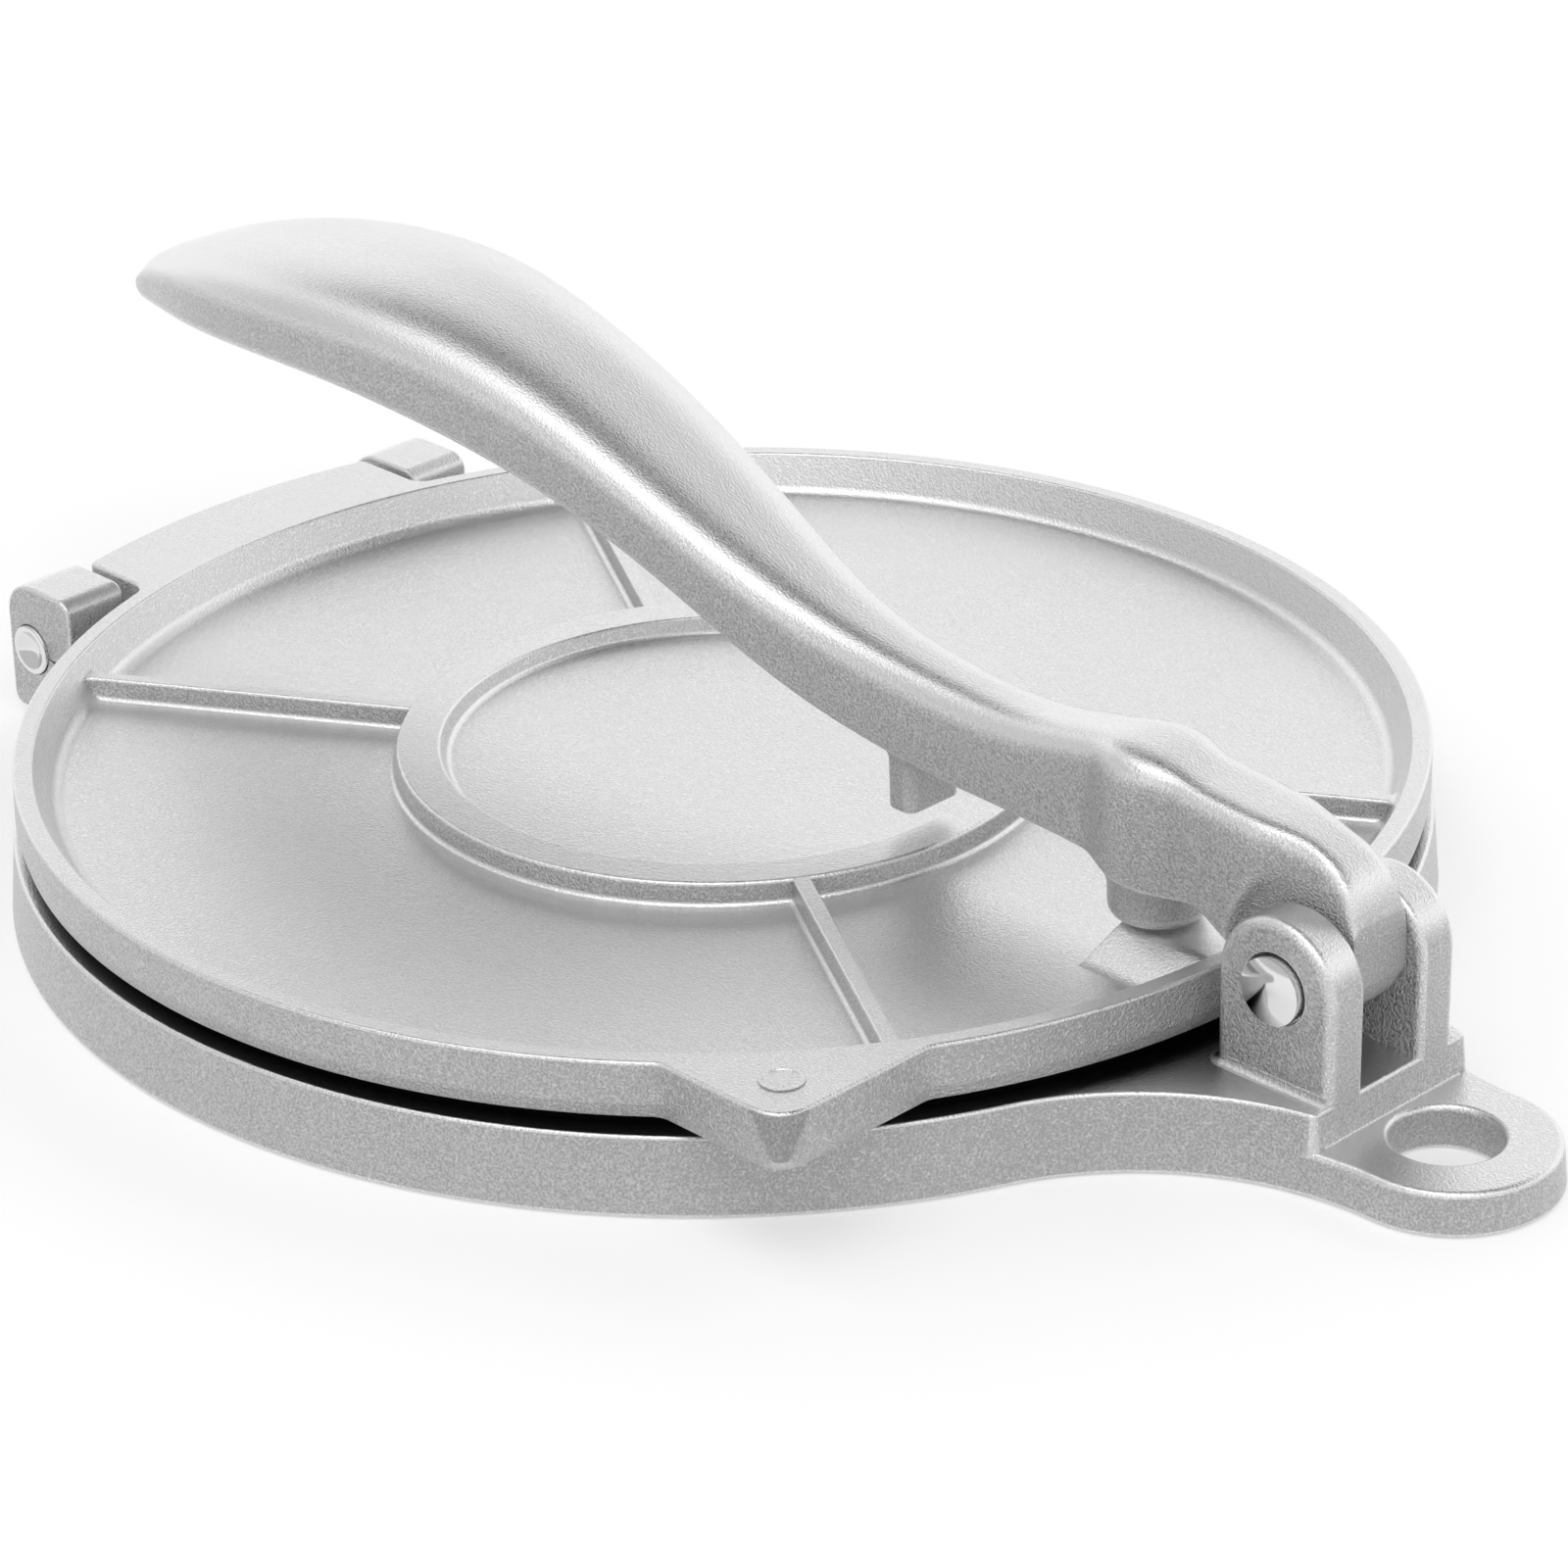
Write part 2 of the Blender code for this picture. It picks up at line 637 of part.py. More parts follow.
def build_lever(press, frame, material):
    """Build the lever: grip and arm, end knuckle, boss with presser, and the nub under the arm."""
    first = lever_station_shares[0][0]
    last = lever_station_shares[-1][0]
    lever = press.piece("lever", loft("lever", lever_sections(first, last, 0)), frame, material)
    hollow = loft("lever_hollow", lever_sections(hollow_start_share, hollow_end_share, arm_wall))
    combine(lever, press.tool("lever_hollow", hollow, frame), "DIFFERENCE")

    half = slot_half_width - knuckle_side_gap
    knuckle = press.tool("knuckle", slab("knuckle", knuckle_outline(), -half, half, upright=True), frame)
    round_edges(knuckle, knuckle_edge)
    combine(lever, knuckle, "UNION")

    boss = press.tool("boss", outline_mesh("boss", boss_profile(pad_z + running_gap)), frame)
    boss.location = boss.location + Vector((presser_x, 0, 0))
    spin(boss, plate_steps // 3)
    combine(lever, boss, "UNION")

    nub_x = pin_x - nub_back
    nub_low = ring_z + nub_clearance
    nub_high = pin_z + lever_station_shares[12][2] * lever_rise - arm_wall / 2
    nub = box("nub", (nub_x - nub_length / 2, -nub_half_width, nub_low),
              (nub_x + nub_length / 2, nub_half_width, nub_high))
    nub_tool = press.tool("nub", nub, frame)
    round_edges(nub_tool, nub_edge)
    combine(lever, nub_tool, "UNION")

    past = half + overrun
    bore = rod("lever_bore", lever_pin_radius + running_gap, -past, past, (pin_x, pin_z))
    combine(lever, press.tool("lever_bore", bore, frame), "DIFFERENCE")
    return lever


def build_lever_pin(press, material):
    """Build the pin through the fork, domed at both ends."""
    dome = lever_pin_dome
    rounded = [(lever_pin_radius * math.cos(a), ear_outer + dome * math.sin(a))
               for a in np.linspace(math.pi / 2, 0, 6)]
    profile = [(0, rounded[0][1])] + rounded[1:] + [(r, -z) for r, z in reversed(rounded[1:])]
    profile.append((0, -rounded[0][1]))
    pin = press.piece("lever_pin", outline_mesh("lever_pin", profile), press.origin, material)
    pin.location = Vector((pin_x, 0, pin_z))
    pin.rotation_euler = (math.pi / 2, 0, 0)
    spin(pin, pin_steps)
    return pin


def build_hinge_pin(press, name, side, material):
    """Build one of the two short hinge pins, dimpled at its outer end, on the side -1 or 1 of Y."""
    outer = hinge_lug_outer - hinge_pin_recess
    inner = hinge_tab_half_width - hinge_pin_depth + running_gap
    rim = hinge_pin_radius - hinge_dimple
    angles = np.linspace(math.pi / 8, math.pi / 2, 4)
    profile = [(0, outer - hinge_dimple)]
    profile += [(rim * math.sin(a), outer - hinge_dimple * math.cos(a)) for a in angles]
    profile += [(hinge_pin_radius - hinge_dimple / 4, outer), (hinge_pin_radius, outer - hinge_dimple / 4)]
    profile += [(hinge_pin_radius, inner), (0, inner)]
    pin = press.piece(name, outline_mesh(name, profile), press.origin, material)
    pin.location = Vector((-hinge_x, 0, hinge_z))
    pin.rotation_euler = (-side * math.pi / 2, 0, 0)
    spin(pin, pin_steps)
    return pin


def main():
    """Build the press."""
    clear_scene()
    press = Press()
    cast = metal("cast_aluminium", 0.78, 0.38)
    steel = metal("polished_steel", 0.70, 0.14)
    plate_axis = press.frame("plate_axis", Vector((-hinge_x, 0, hinge_z)), press.origin)
    lever_axis = press.frame("lever_axis", Vector((pin_x, 0, pin_z)), press.origin)
    pieces = [
        build_base(press, cast),
        build_plate(press, plate_axis, cast),
        build_lever(press, lever_axis, cast),
        build_lever_pin(press, steel),
        build_hinge_pin(press, "hinge_pin_near", -1, steel),
        build_hinge_pin(press, "hinge_pin_far", 1, steel),
    ]
    for piece in pieces:
        shade(piece)
    bpy.context.view_layer.update()


main()
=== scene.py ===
"""Tortilla press in cast aluminium: three castings and their pins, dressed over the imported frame.

All sizes are in millimetres about the middle of the plates, with the table at height 0, +X towards the fork
and the hanging lug, and +Y towards the far side. They become metres in the frame when a mesh is made.
"""
import logging
import math
from dataclasses import dataclass, field
from enum import Enum
from typing import Callable, Dict, List, Optional, Sequence, Tuple, Union

import bpy
import numpy as np
from mathutils import Matrix, Vector


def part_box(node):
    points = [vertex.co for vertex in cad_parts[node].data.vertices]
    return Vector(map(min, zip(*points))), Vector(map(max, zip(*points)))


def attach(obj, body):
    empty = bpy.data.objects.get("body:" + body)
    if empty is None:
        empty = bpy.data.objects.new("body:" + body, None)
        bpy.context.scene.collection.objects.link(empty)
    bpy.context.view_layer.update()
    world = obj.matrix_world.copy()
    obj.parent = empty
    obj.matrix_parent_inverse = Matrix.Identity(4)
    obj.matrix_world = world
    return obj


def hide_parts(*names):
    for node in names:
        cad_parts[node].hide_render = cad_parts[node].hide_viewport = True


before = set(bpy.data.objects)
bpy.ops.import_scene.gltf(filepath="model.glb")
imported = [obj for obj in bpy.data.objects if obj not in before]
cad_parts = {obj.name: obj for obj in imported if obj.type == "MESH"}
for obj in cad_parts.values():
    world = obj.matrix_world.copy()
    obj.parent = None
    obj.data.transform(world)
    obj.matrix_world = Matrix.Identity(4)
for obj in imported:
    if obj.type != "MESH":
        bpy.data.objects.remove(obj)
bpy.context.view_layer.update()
LOG = logging.getLogger("tortilla_press")
MM = 0.001
PLATE_RADIUS = 100.0
PLATES_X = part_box("upper_plate")[1][0] - PLATE_RADIUS * MM
SHARP_ANGLE = math.radians(38.0)
# Where painted shade darkens the metal in the gap between the plates.
GAP_RADII = (93.8, 99.7)
GAP_HEIGHTS = (11.2, 13.8)
# Bent edges get a painted highlight, and are also smoothed as worn metal.
WORN_HIGHLIGHT_BEND, WORN_HIGHLIGHT_SPAN, WORN_HIGHLIGHT_SHARE = 0.14, 0.34, 0.55
# How far the tab's cone and the mark's edge take painted shade.
SHADE_DEPTH = 0.34
Number = Union[float, "Wire"]


class End(Enum):
    """How the first or last row of a grid is closed."""

    POINT = "point"
    FACE = "face"


class Axis(Enum):
    """The line that a turned piece turns about."""

    ACROSS = "across"
    UP = "up"


def ease(share: np.ndarray) -> np.ndarray:
    """Return a smooth rise from 0 to 1: three times the square less twice the cube of the clipped share."""
    share = np.clip(share, 0.0, 1.0)
    return share * share * (3.0 - 2.0 * share)


def soft_max(first: np.ndarray, second: np.ndarray, reach: float) -> np.ndarray:
    """Return the larger value with the crease rounded over.

    Formula: the maximum plus a quarter of the reach times the square of how near the two are, as a share.

    Args:
        first: one set of values.
        second: the other set.
        reach: the difference at which the rounding begins.

    Returns:
        The rounded maximum.
    """
    near = np.maximum(reach - np.abs(first - second), 0.0) / reach
    return np.maximum(first, second) + near * near * reach / 4.0


def soft_min(first: np.ndarray, second: np.ndarray, reach: float) -> np.ndarray:
    """Return the smaller value with the crease rounded over."""
    return -soft_max(-first, -second, reach)


def soften(corners: Sequence[Sequence[float]], steps: int = 6, hold: float = 0.12) -> np.ndarray:
    """Turn corners into a line whose corners are rounded.

    Formula: each corner with a radius becomes an arc that touches both its sides, and one point is held
    a little before and after it, so that the flats beside it stay flat when they are shaded.

    Args:
        corners: points as (a, b) or (a, b, radius).
        steps: steps in each arc.
        hold: how far from the arc the held points lie.

    Returns:
        The points, one a row.
    """
    spots = np.array([corner[:2] for corner in corners], dtype=float)
    radii = [corner[2] if len(corner) > 2 else 0.0 for corner in corners]
    line: List[np.ndarray] = []
    for index, (spot, radius) in enumerate(zip(spots, radii)):
        if radius <= 0.0 or index in (0, len(spots) - 1):
            line.append(spot[None, :])
            continue
        back = spots[index - 1] - spot
        ahead = spots[index + 1] - spot
        back_length, ahead_length = np.linalg.norm(back), np.linalg.norm(ahead)
        back, ahead = back / back_length, ahead / ahead_length
        half = math.acos(float(np.clip(back @ ahead, -1.0, 1.0))) / 2.0
        run = min(radius / math.tan(half), 0.46 * back_length, 0.46 * ahead_length)
        middle = spot + (back + ahead) / np.linalg.norm(back + ahead) * run / math.cos(half)
        start, stop = spot + back * run - middle, spot + ahead * run - middle
        turn = math.pi - 2.0 * half
        share = np.linspace(0.0, 1.0, steps + 1)[:, None]
        arc = middle + (np.sin((1.0 - share) * turn) * start + np.sin(share * turn) * stop) / math.sin(turn)
        rest = min(hold, 0.03 * min(back_length, ahead_length))
        line.append((spot + back * (run + rest))[None, :])
        line.append(arc)
        line.append((spot + ahead * (run + rest))[None, :])
    return np.concatenate(line)


def through(where: np.ndarray, places: Sequence[float], values: Sequence[float]) -> np.ndarray:
    """Return a smooth curve through given values.

    Formula: a cubic between each pair of places, whose slope at a place is the mean slope of its neighbours.

    Args:
        where: the places wanted.
        places: the places given, rising.
        values: the values there.

    Returns:
        The value of the curve at each place wanted.
    """
    x, y = np.asarray(places, dtype=float), np.asarray(values, dtype=float)
    slope = np.gradient(y, x)
    left = np.clip(np.searchsorted(x, where, side="right") - 1, 0, len(x) - 2)
    span = x[left + 1] - x[left]
    t = np.clip((where - x[left]) / span, 0.0, 1.0)
    return ((2 * t**3 - 3 * t**2 + 1) * y[left] + (t**3 - 2 * t**2 + t) * span * slope[left]
            + (3 * t**2 - 2 * t**3) * y[left + 1] + (t**3 - t**2) * span * slope[left + 1])


def calm(values: np.ndarray, places: np.ndarray, reach: np.ndarray) -> np.ndarray:
    """Return a curve with its ripples taken out.

    Formula: at each place, the straight line that fits the values around it best, weighted by a bell curve
    of the reach given there and by how much of the length each value stands for.

    Args:
        values: the curve, one value a place.
        places: the places, rising.
        reach: how far the bell curve reaches at each place.

    Returns:
        The calmer curve.
    """
    away = places[None, :] - places[:, None]
    weight = np.exp(-0.5 * (away / reach[:, None]) ** 2) * np.gradient(places)[None, :]
    total, first, second = weight.sum(1), (weight * away).sum(1), (weight * away**2).sum(1)
    return (second * (weight @ values) - first * (weight * away @ values)) / (total * second - first**2)


def spoke(far: np.ndarray, side: np.ndarray, height: np.ndarray, angle: float) -> np.ndarray:
    """Return a grid that runs outwards from the middle of the plates, turned to its direction in plan.

    Args:
        far: how far each row is from the middle.
        side: how far each point is beside the line outwards.
        height: the height of each column.
        angle: the direction of that line, in degrees.

    Returns:
        The points as (row, column, xyz).
    """
    turn = math.radians(angle)
    x = far[:, None] * math.cos(turn) - side * math.sin(turn)
    y = far[:, None] * math.sin(turn) + side * math.cos(turn)
    return np.stack([x, y, np.broadcast_to(height, x.shape)], axis=-1)


@dataclass
class Outline:
    """A closed line in a plane, with the direction that points out of it at each point."""

    points: np.ndarray
    normals: np.ndarray

    def row(self, offset: float, height: float) -> np.ndarray:
        """Return the line moved outwards by offset, as points at that height."""
        flat = self.points + self.normals * offset
        return np.column_stack([flat, np.full(len(flat), height)])

    def round(self, radius: float, height: float, centre: Tuple[float, float] = (0.0, 0.0)) -> np.ndarray:
        """Return a circle whose points lie in the same directions from centre as this line's."""
        away = self.points - np.array(centre)
        angle = np.arctan2(away[:, 1], away[:, 0])
        return np.column_stack([centre[0] + radius * np.cos(angle), centre[1] + radius * np.sin(angle),
                                np.full(len(angle), height)])


@dataclass
class Pen:
    """Draws an outline from arcs and straight lines, counter-clockwise."""

    points: List[np.ndarray] = field(default_factory=list)
    normals: List[np.ndarray] = field(default_factory=list)

    def arc(self, centre: Tuple[float, float], radius: float, start: float, stop: float, steps: int) -> "Pen":
        """Add an arc without its last point. One that turns clockwise is hollow, so it faces its centre.

        Args:
            centre: the centre.
            radius: the radius.
            start: the first angle, in radians.
            stop: the last angle.
            steps: how many points.

        Returns:
            This pen.
        """
        angle = np.linspace(start, stop, steps, endpoint=False)
        way = np.column_stack([np.cos(angle), np.sin(angle)])
        self.points.append(np.array(centre) + way * radius)
        self.normals.append(way if stop > start else -way)
        return self

    def line(self, start: Tuple[float, float], stop: Tuple[float, float], steps: int) -> "Pen":
        """Add a straight line without its last point.

        Args:
            start: where it begins.
            stop: where it ends.
            steps: how many points.

        Returns:
            This pen.
        """
        first, last = np.array(start), np.array(stop)
        share = np.linspace(0.0, 1.0, steps, endpoint=False)[:, None]
        way = (last - first) / np.linalg.norm(last - first)
        self.points.append(first + (last - first) * share)
        self.normals.append(np.tile([way[1], -way[0]], (steps, 1)))
        return self

    def outline(self) -> Outline:
        """Return the finished outline."""
        return Outline(np.concatenate(self.points), np.concatenate(self.normals))


@dataclass
class Casting:
    """One casting: closed shells that run into each other, made into one mesh object."""

    name: str
    points: List[np.ndarray] = field(default_factory=list)
    faces: List[List[List[int]]] = field(default_factory=list)
    count: int = 0

    def add(self, rows: np.ndarray, start: End = End.POINT, stop: End = End.POINT,
            ring: bool = False) -> None:
        """Add a closed shell made of rows of points.

        Formula: every row is a closed loop, neighbouring rows are joined by four-sided faces, and the two
        ends are closed by a middle point or one face. The faces are turned round if the volume that they
        enclose comes out negative.

        Args:
            rows: points as (row, column, xyz).
            start: how the first row is closed.
            stop: how the last row is closed.
            ring: whether the last row joins the first, so that nothing has to be closed.
        """
        total, across = rows.shape[:2]
        index = np.arange(total * across).reshape(total, across)
        if ring:
            index = np.vstack([index, index[:1]])
        ahead = np.roll(index, -1, axis=1)
        quads = np.stack([index[:-1], index[1:], ahead[1:], ahead[:-1]], axis=-1).reshape(-1, 4)
        spots = rows.reshape(-1, 3)
        faces = quads.tolist()
        ends = () if ring else ((index[0], start), (index[-1][::-1], stop))
        for loop, way in ends:
            if way is End.FACE:
                faces.append(loop.tolist())
                continue
            spots = np.vstack([spots, spots[loop].mean(axis=0)])
            middle = np.full(across, len(spots) - 1)
            faces += np.stack([middle, loop, np.roll(loop, -1)], axis=-1).tolist()
        self.keep(spots, quads, faces)

    def keep(self, spots: np.ndarray, quads: np.ndarray, faces: List[List[int]]) -> None:
        """Store a shell with its faces pointing outwards.

        Args:
            spots: the shell's points.
            quads: its four-sided faces, from which the sign of its volume is taken.
            faces: all its faces.
        """
        middle = spots.mean(axis=0)
        a, b, c, d = (spots[quads[:, corner]] - middle for corner in range(4))
        volume = np.einsum("ij,ij->", a, np.cross(b, c)) + np.einsum("ij,ij->", a, np.cross(c, d))
        turned = faces if volume > 0.0 else [face[::-1] for face in faces]
        self.faces.append([[corner + self.count for corner in face] for face in turned])
        self.points.append(spots)
        self.count += len(spots)

    def turned(self, profile: np.ndarray, centre: Tuple[float, float], axis: Axis, steps: int = 72) -> None:
        """Add a turned shape.

        Formula: each profile point (radius, place) is a circle of that radius at that place on the axis.

        Args:
            profile: the profile, from one end to the other.
            centre: where the axis stands, in plan for an upright axis and as (x, z) for one across.
            axis: the line that it turns about.
            steps: points in each circle.
        """
        angle = np.linspace(0.0, 2.0 * math.pi, steps, endpoint=False)
        radius, place = profile[:, :1], np.repeat(profile[:, 1:], steps, axis=1)
        first, second = centre[0] + radius * np.cos(angle), centre[1] + radius * np.sin(angle)
        order = (first, second, place) if axis is Axis.UP else (first, place, second)
        self.add(np.stack(order, axis=-1))

    def relief(self, along: np.ndarray, across: np.ndarray, height: np.ndarray, low: float) -> None:
        """Add a shape given by its height over a rectangle, with a flat underside.

        Args:
            along: the places in x, one a row.
            across: the places in y, one a column.
            height: the height at each.
            low: the height of the underside.
        """
        top = np.stack(np.broadcast_arrays(along[:, None], across[None, :], height), axis=-1)
        under = top[:, ::-1].copy()
        under[..., 2] = low
        self.add(np.concatenate([top, under], axis=1), End.FACE, End.FACE)

    def bend(self, mesh: bpy.types.Mesh, normals: np.ndarray) -> np.ndarray:
        """Return how strongly the surface bends outwards at each point, in 1/mm.

        Formula: along an edge the bend is the change of the normal in the edge's direction, over its
        length. A point takes the mean over its edges.

        Args:
            mesh: the mesh, in metres.
            normals: the direction that each point faces.

        Returns:
            The bend, one value a point.
        """
        pairs = np.empty(len(mesh.edges) * 2, dtype=int)
        mesh.edges.foreach_get("vertices", pairs)
        first, second = pairs.reshape(-1, 2).T
        spots = np.concatenate(self.points)
        along = spots[second] - spots[first]
        length = np.maximum((along**2).sum(1), 0.01)
        bend = ((normals[second] - normals[first]) * along).sum(1) / length
        total = np.bincount(pairs, np.repeat(bend, 2), len(spots))
        return total / np.maximum(np.bincount(pairs, minlength=len(spots)), 1)

    def finish(self, dress: bpy.types.Material, body: str, nodes: Sequence[str],
               shade: Callable[..., np.ndarray] = lambda x, y, z: 0.0 * x) -> bpy.types.Object:
        """Make the mesh object, dress it and tie it to its body.

        Formula: the polish share, which also carries painted light, is the larger of how far the metal faces
        up (painted light from above) and how worn its edge is by its bend (a painted highlight on the edge,
        which is also smoothed as worn metal). The darkening share is the larger of the painted shade in the
        gap between the plates and the place's own painted shade.

        Args:
            dress: the material.
            body: the body that it rides on.
            nodes: the nodes of the frame that it stands for.
            shade: how much painted shade darkens the metal at each place, 0 to 1.

        Returns:
            The object.
        """
        spots = np.concatenate(self.points) * MM + np.array([PLATES_X, 0.0, 0.0])
        mesh = bpy.data.meshes.new(self.name)
        mesh.from_pydata(spots.tolist(), [], [face for shell in self.faces for face in shell])
        mesh.update()
        mesh.shade_smooth()
        mesh.set_sharp_from_angle(angle=SHARP_ANGLE)
        normals = np.empty(len(spots) * 3)
        mesh.vertices.foreach_get("normal", normals)
        x, y, z = np.concatenate(self.points).T
        out, dark = np.hypot(x, y), shade(x, y, z)
        # Painted shade: metal in the gap between the plates is darkened.
        gap = (out > GAP_RADII[0]) & (z > GAP_HEIGHTS[0]) & (z < GAP_HEIGHTS[1])
        # Painted highlight: bent edges are lightened, and smoothed as worn metal.
        worn_edge_highlight = ease((self.bend(mesh, normals.reshape(-1, 3)) - WORN_HIGHLIGHT_BEND) / WORN_HIGHLIGHT_SPAN) * WORN_HIGHLIGHT_SHARE
        # Painted light: metal that faces up is lightened towards the pale level.
        shares = {"polish_and_painted_light": np.maximum(ease((normals[2::3] - 0.2) / 0.4), worn_edge_highlight * (1.0 - dark)),
                  "painted_shade": np.maximum(gap * ease(GAP_RADII[1] - out), dark * SHADE_DEPTH)}
        for share, values in shares.items():
            mesh.attributes.new(share, "FLOAT", "POINT").data.foreach_set("value", values.astype(float))
        mesh.materials.append(dress)
        piece = bpy.data.objects.new(self.name, mesh)
        bpy.context.scene.collection.objects.link(piece)
        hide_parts(*nodes)
        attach(piece, body)
        LOG.info("%s: %d points, %d faces", self.name, len(spots), len(mesh.polygons))
        return piece


class Wire:
    """A value in a node tree that takes the usual signs of arithmetic."""

    def __init__(self, tree: "Tree", socket: bpy.types.NodeSocket) -> None:
        """Keep the tree and the socket that gives the value."""
        self.tree = tree
        self.socket = socket

    def __add__(self, other: Number) -> "Wire":
        """Return the sum."""
        return self.tree.maths("ADD", self, other)

    def __sub__(self, other: Number) -> "Wire":
        """Return the difference."""
        return self.tree.maths("SUBTRACT", self, other)

    def __mul__(self, other: Number) -> "Wire":
        """Return the product."""
        return self.tree.maths("MULTIPLY", self, other)

    def __rsub__(self, other: float) -> "Wire":
        """Return a number less this value."""
        return self.tree.maths("SUBTRACT", other, self)

    __radd__ = __add__
    __rmul__ = __mul__

    def ramp(self, low: float, high: float) -> "Wire":
        """Return 0 below low, 1 above high and a smooth rise between."""
        return self.tree.node("ShaderNodeMapRange", {"Value": self, "From Min": low, "From Max": high},
                              interpolation_type="SMOOTHSTEP")


class Tree:
    """Makes the nodes of one material or world."""

    def __init__(self, nodes: bpy.types.NodeTree) -> None:
        """Empty the tree and keep it."""
        self.nodes = nodes
        nodes.nodes.clear()

    def node(self, kind: str, inputs: Dict[Union[str, int], object], output: Union[str, int] = 0,
             **settings: object) -> Wire:
        """Make one node.

        Args:
            kind: the node's type.
            inputs: what goes into its sockets: values, or wires from other nodes.
            output: which of its outputs is wanted.
            settings: its other settings.

        Returns:
            The output.
        """
        made = self.nodes.nodes.new(kind)
        for name, value in settings.items():
            setattr(made, name, value)
        for name, value in inputs.items():
            if isinstance(value, Wire):
                self.nodes.links.new(value.socket, made.inputs[name])
            else:
                made.inputs[name].default_value = value
        return Wire(self, made.outputs[output] if made.outputs else None)

    def maths(self, operation: str, first: Number, second: Number) -> Wire:
        """Return one step of arithmetic."""
        return self.node("ShaderNodeMath", {0: first, 1: second}, operation=operation)

    def place(self) -> Wire:
        """Return the place on the piece, in metres."""
        return self.node("ShaderNodeTexCoord", {}, "Object")

    def noise(self, size: float, detail: float = 2.0, rough: float = 0.5,
              stretch: Optional[Vector] = None) -> Wire:
        """Return a cloudy pattern.

        Args:
            size: the size of its patches, in millimetres.
            detail: how many finer layers it has.
            rough: how strong those are.
            stretch: how much finer it is along each axis.

        Returns:
            The pattern, about 0 to 1.
        """
        where = self.place()
        if stretch is not None:
            where = self.node("ShaderNodeVectorMath", {0: where, 1: stretch}, operation="MULTIPLY")
        return self.node("ShaderNodeTexNoise", {"Vector": where, "Scale": 1000.0 / size, "Detail": detail,
                                                "Roughness": rough})

    def grey(self, level: Wire) -> Wire:
        """Return a neutral colour of that brightness."""
        return self.node("ShaderNodeCombineColor", {0: level, 1: level, 2: level})


@dataclass(frozen=True)
class CastAluminium:
    """Tumbled cast aluminium: satin where it faces up, sandier on its drafted walls, pale there by painted
    light and duller on the walls by painted shade.
    """

    name: str = "cast_aluminium"
    # The pale level is up-facing metal under painted light; the next level is walls under painted shade.
    pale: float = 0.90
    wall_shade_level: float = 0.60
    smooth_roughness: float = 0.15
    sandy_roughness: float = 0.34
    grain: float = 0.34
    grain_height: float = 0.18
    height_fade: float = 0.84
    sand_depth: float = 0.30
    sand_fade: float = 0.24
    cloud: float = 14.0
    cloud_depth: float = 0.05
    cloud_roughness: float = 0.08
    # How far painted shade darkens the colour.
    deep_shade: float = 0.88

    def material(self) -> bpy.types.Material:
        """Build the material.

        Formula: the colour and the roughness go from the dull to the pale finish with the piece's polish
        attribute; in the colour that rise is painted light on up-facing metal and a painted highlight on bent
        edges, and the dull level is painted shade on the walls. Both are mottled by two cloudy patterns, and
        the colour darkens with the piece's painted-shade attribute. The bump is sand of the grain's size.

        Returns:
            The material.
        """
        made = bpy.data.materials.new(self.name)
        made.use_nodes = True
        tree = Tree(made.node_tree)
        polish_and_painted_light = tree.node("ShaderNodeAttribute", {}, "Fac", attribute_name="polish_and_painted_light")
        sand = tree.noise(self.grain, 3.0, 0.6).ramp(0.30, 0.70)
        cloud = tree.noise(self.cloud, 3.0, 0.55)
        painted_shade = tree.node("ShaderNodeAttribute", {}, "Fac", attribute_name="painted_shade")
        # The colour: painted light lifts up-facing metal and bent edges from the painted-shade level of the
        # walls.
        level = (self.wall_shade_level + polish_and_painted_light * (self.pale - self.wall_shade_level) + (cloud - 0.5) * self.cloud_depth
                 + (sand - 0.5) * (self.sand_depth - polish_and_painted_light * self.sand_fade))
        # Painted shade: the gap between the plates, the tab's cone and the mark's edge are darkened.
        level = level * (1.0 - painted_shade * self.deep_shade)
        rough = (self.sandy_roughness + polish_and_painted_light * (self.smooth_roughness - self.sandy_roughness)
                 + (cloud - 0.5) * self.cloud_roughness)
        height = sand * (1.0 - polish_and_painted_light * self.height_fade)
        bump = tree.node("ShaderNodeBump", {"Strength": 1.0, "Distance": self.grain_height * MM,
                                            "Height": height})
        shader = tree.node("ShaderNodeBsdfPrincipled", {
            "Base Color": tree.grey(level), "Metallic": 1.0, "Roughness": rough, "Normal": bump})
        tree.node("ShaderNodeOutputMaterial", {"Surface": shader})
        return made


@dataclass(frozen=True)
class PolishedSteel:
    """Bright turned steel with fine turning marks."""

    name: str = "polished_steel"
    level: float = 0.78
    roughness: float = 0.09

    def material(self) -> bpy.types.Material:
        """Build the material: a bright metal whose roughness is lightly clouded.

        Returns:
            The material.
        """
        made = bpy.data.materials.new(self.name)
        made.use_nodes = True
        tree = Tree(made.node_tree)
        cloud = tree.noise(3.0, 3.0)
        scratch = tree.noise(0.25, 2.0, 0.5, Vector((1.0, 0.1, 1.0)))
        bump = tree.node("ShaderNodeBump", {"Strength": 1.0, "Distance": 0.002 * MM, "Height": scratch})
        shader = tree.node("ShaderNodeBsdfPrincipled", {
            "Base Color": tree.grey(self.level + (cloud - 0.5) * 0.06), "Metallic": 1.0,
            "Roughness": self.roughness + (cloud - 0.5) * 0.06, "Normal": bump})
        tree.node("ShaderNodeOutputMaterial", {"Surface": shader})
        return made


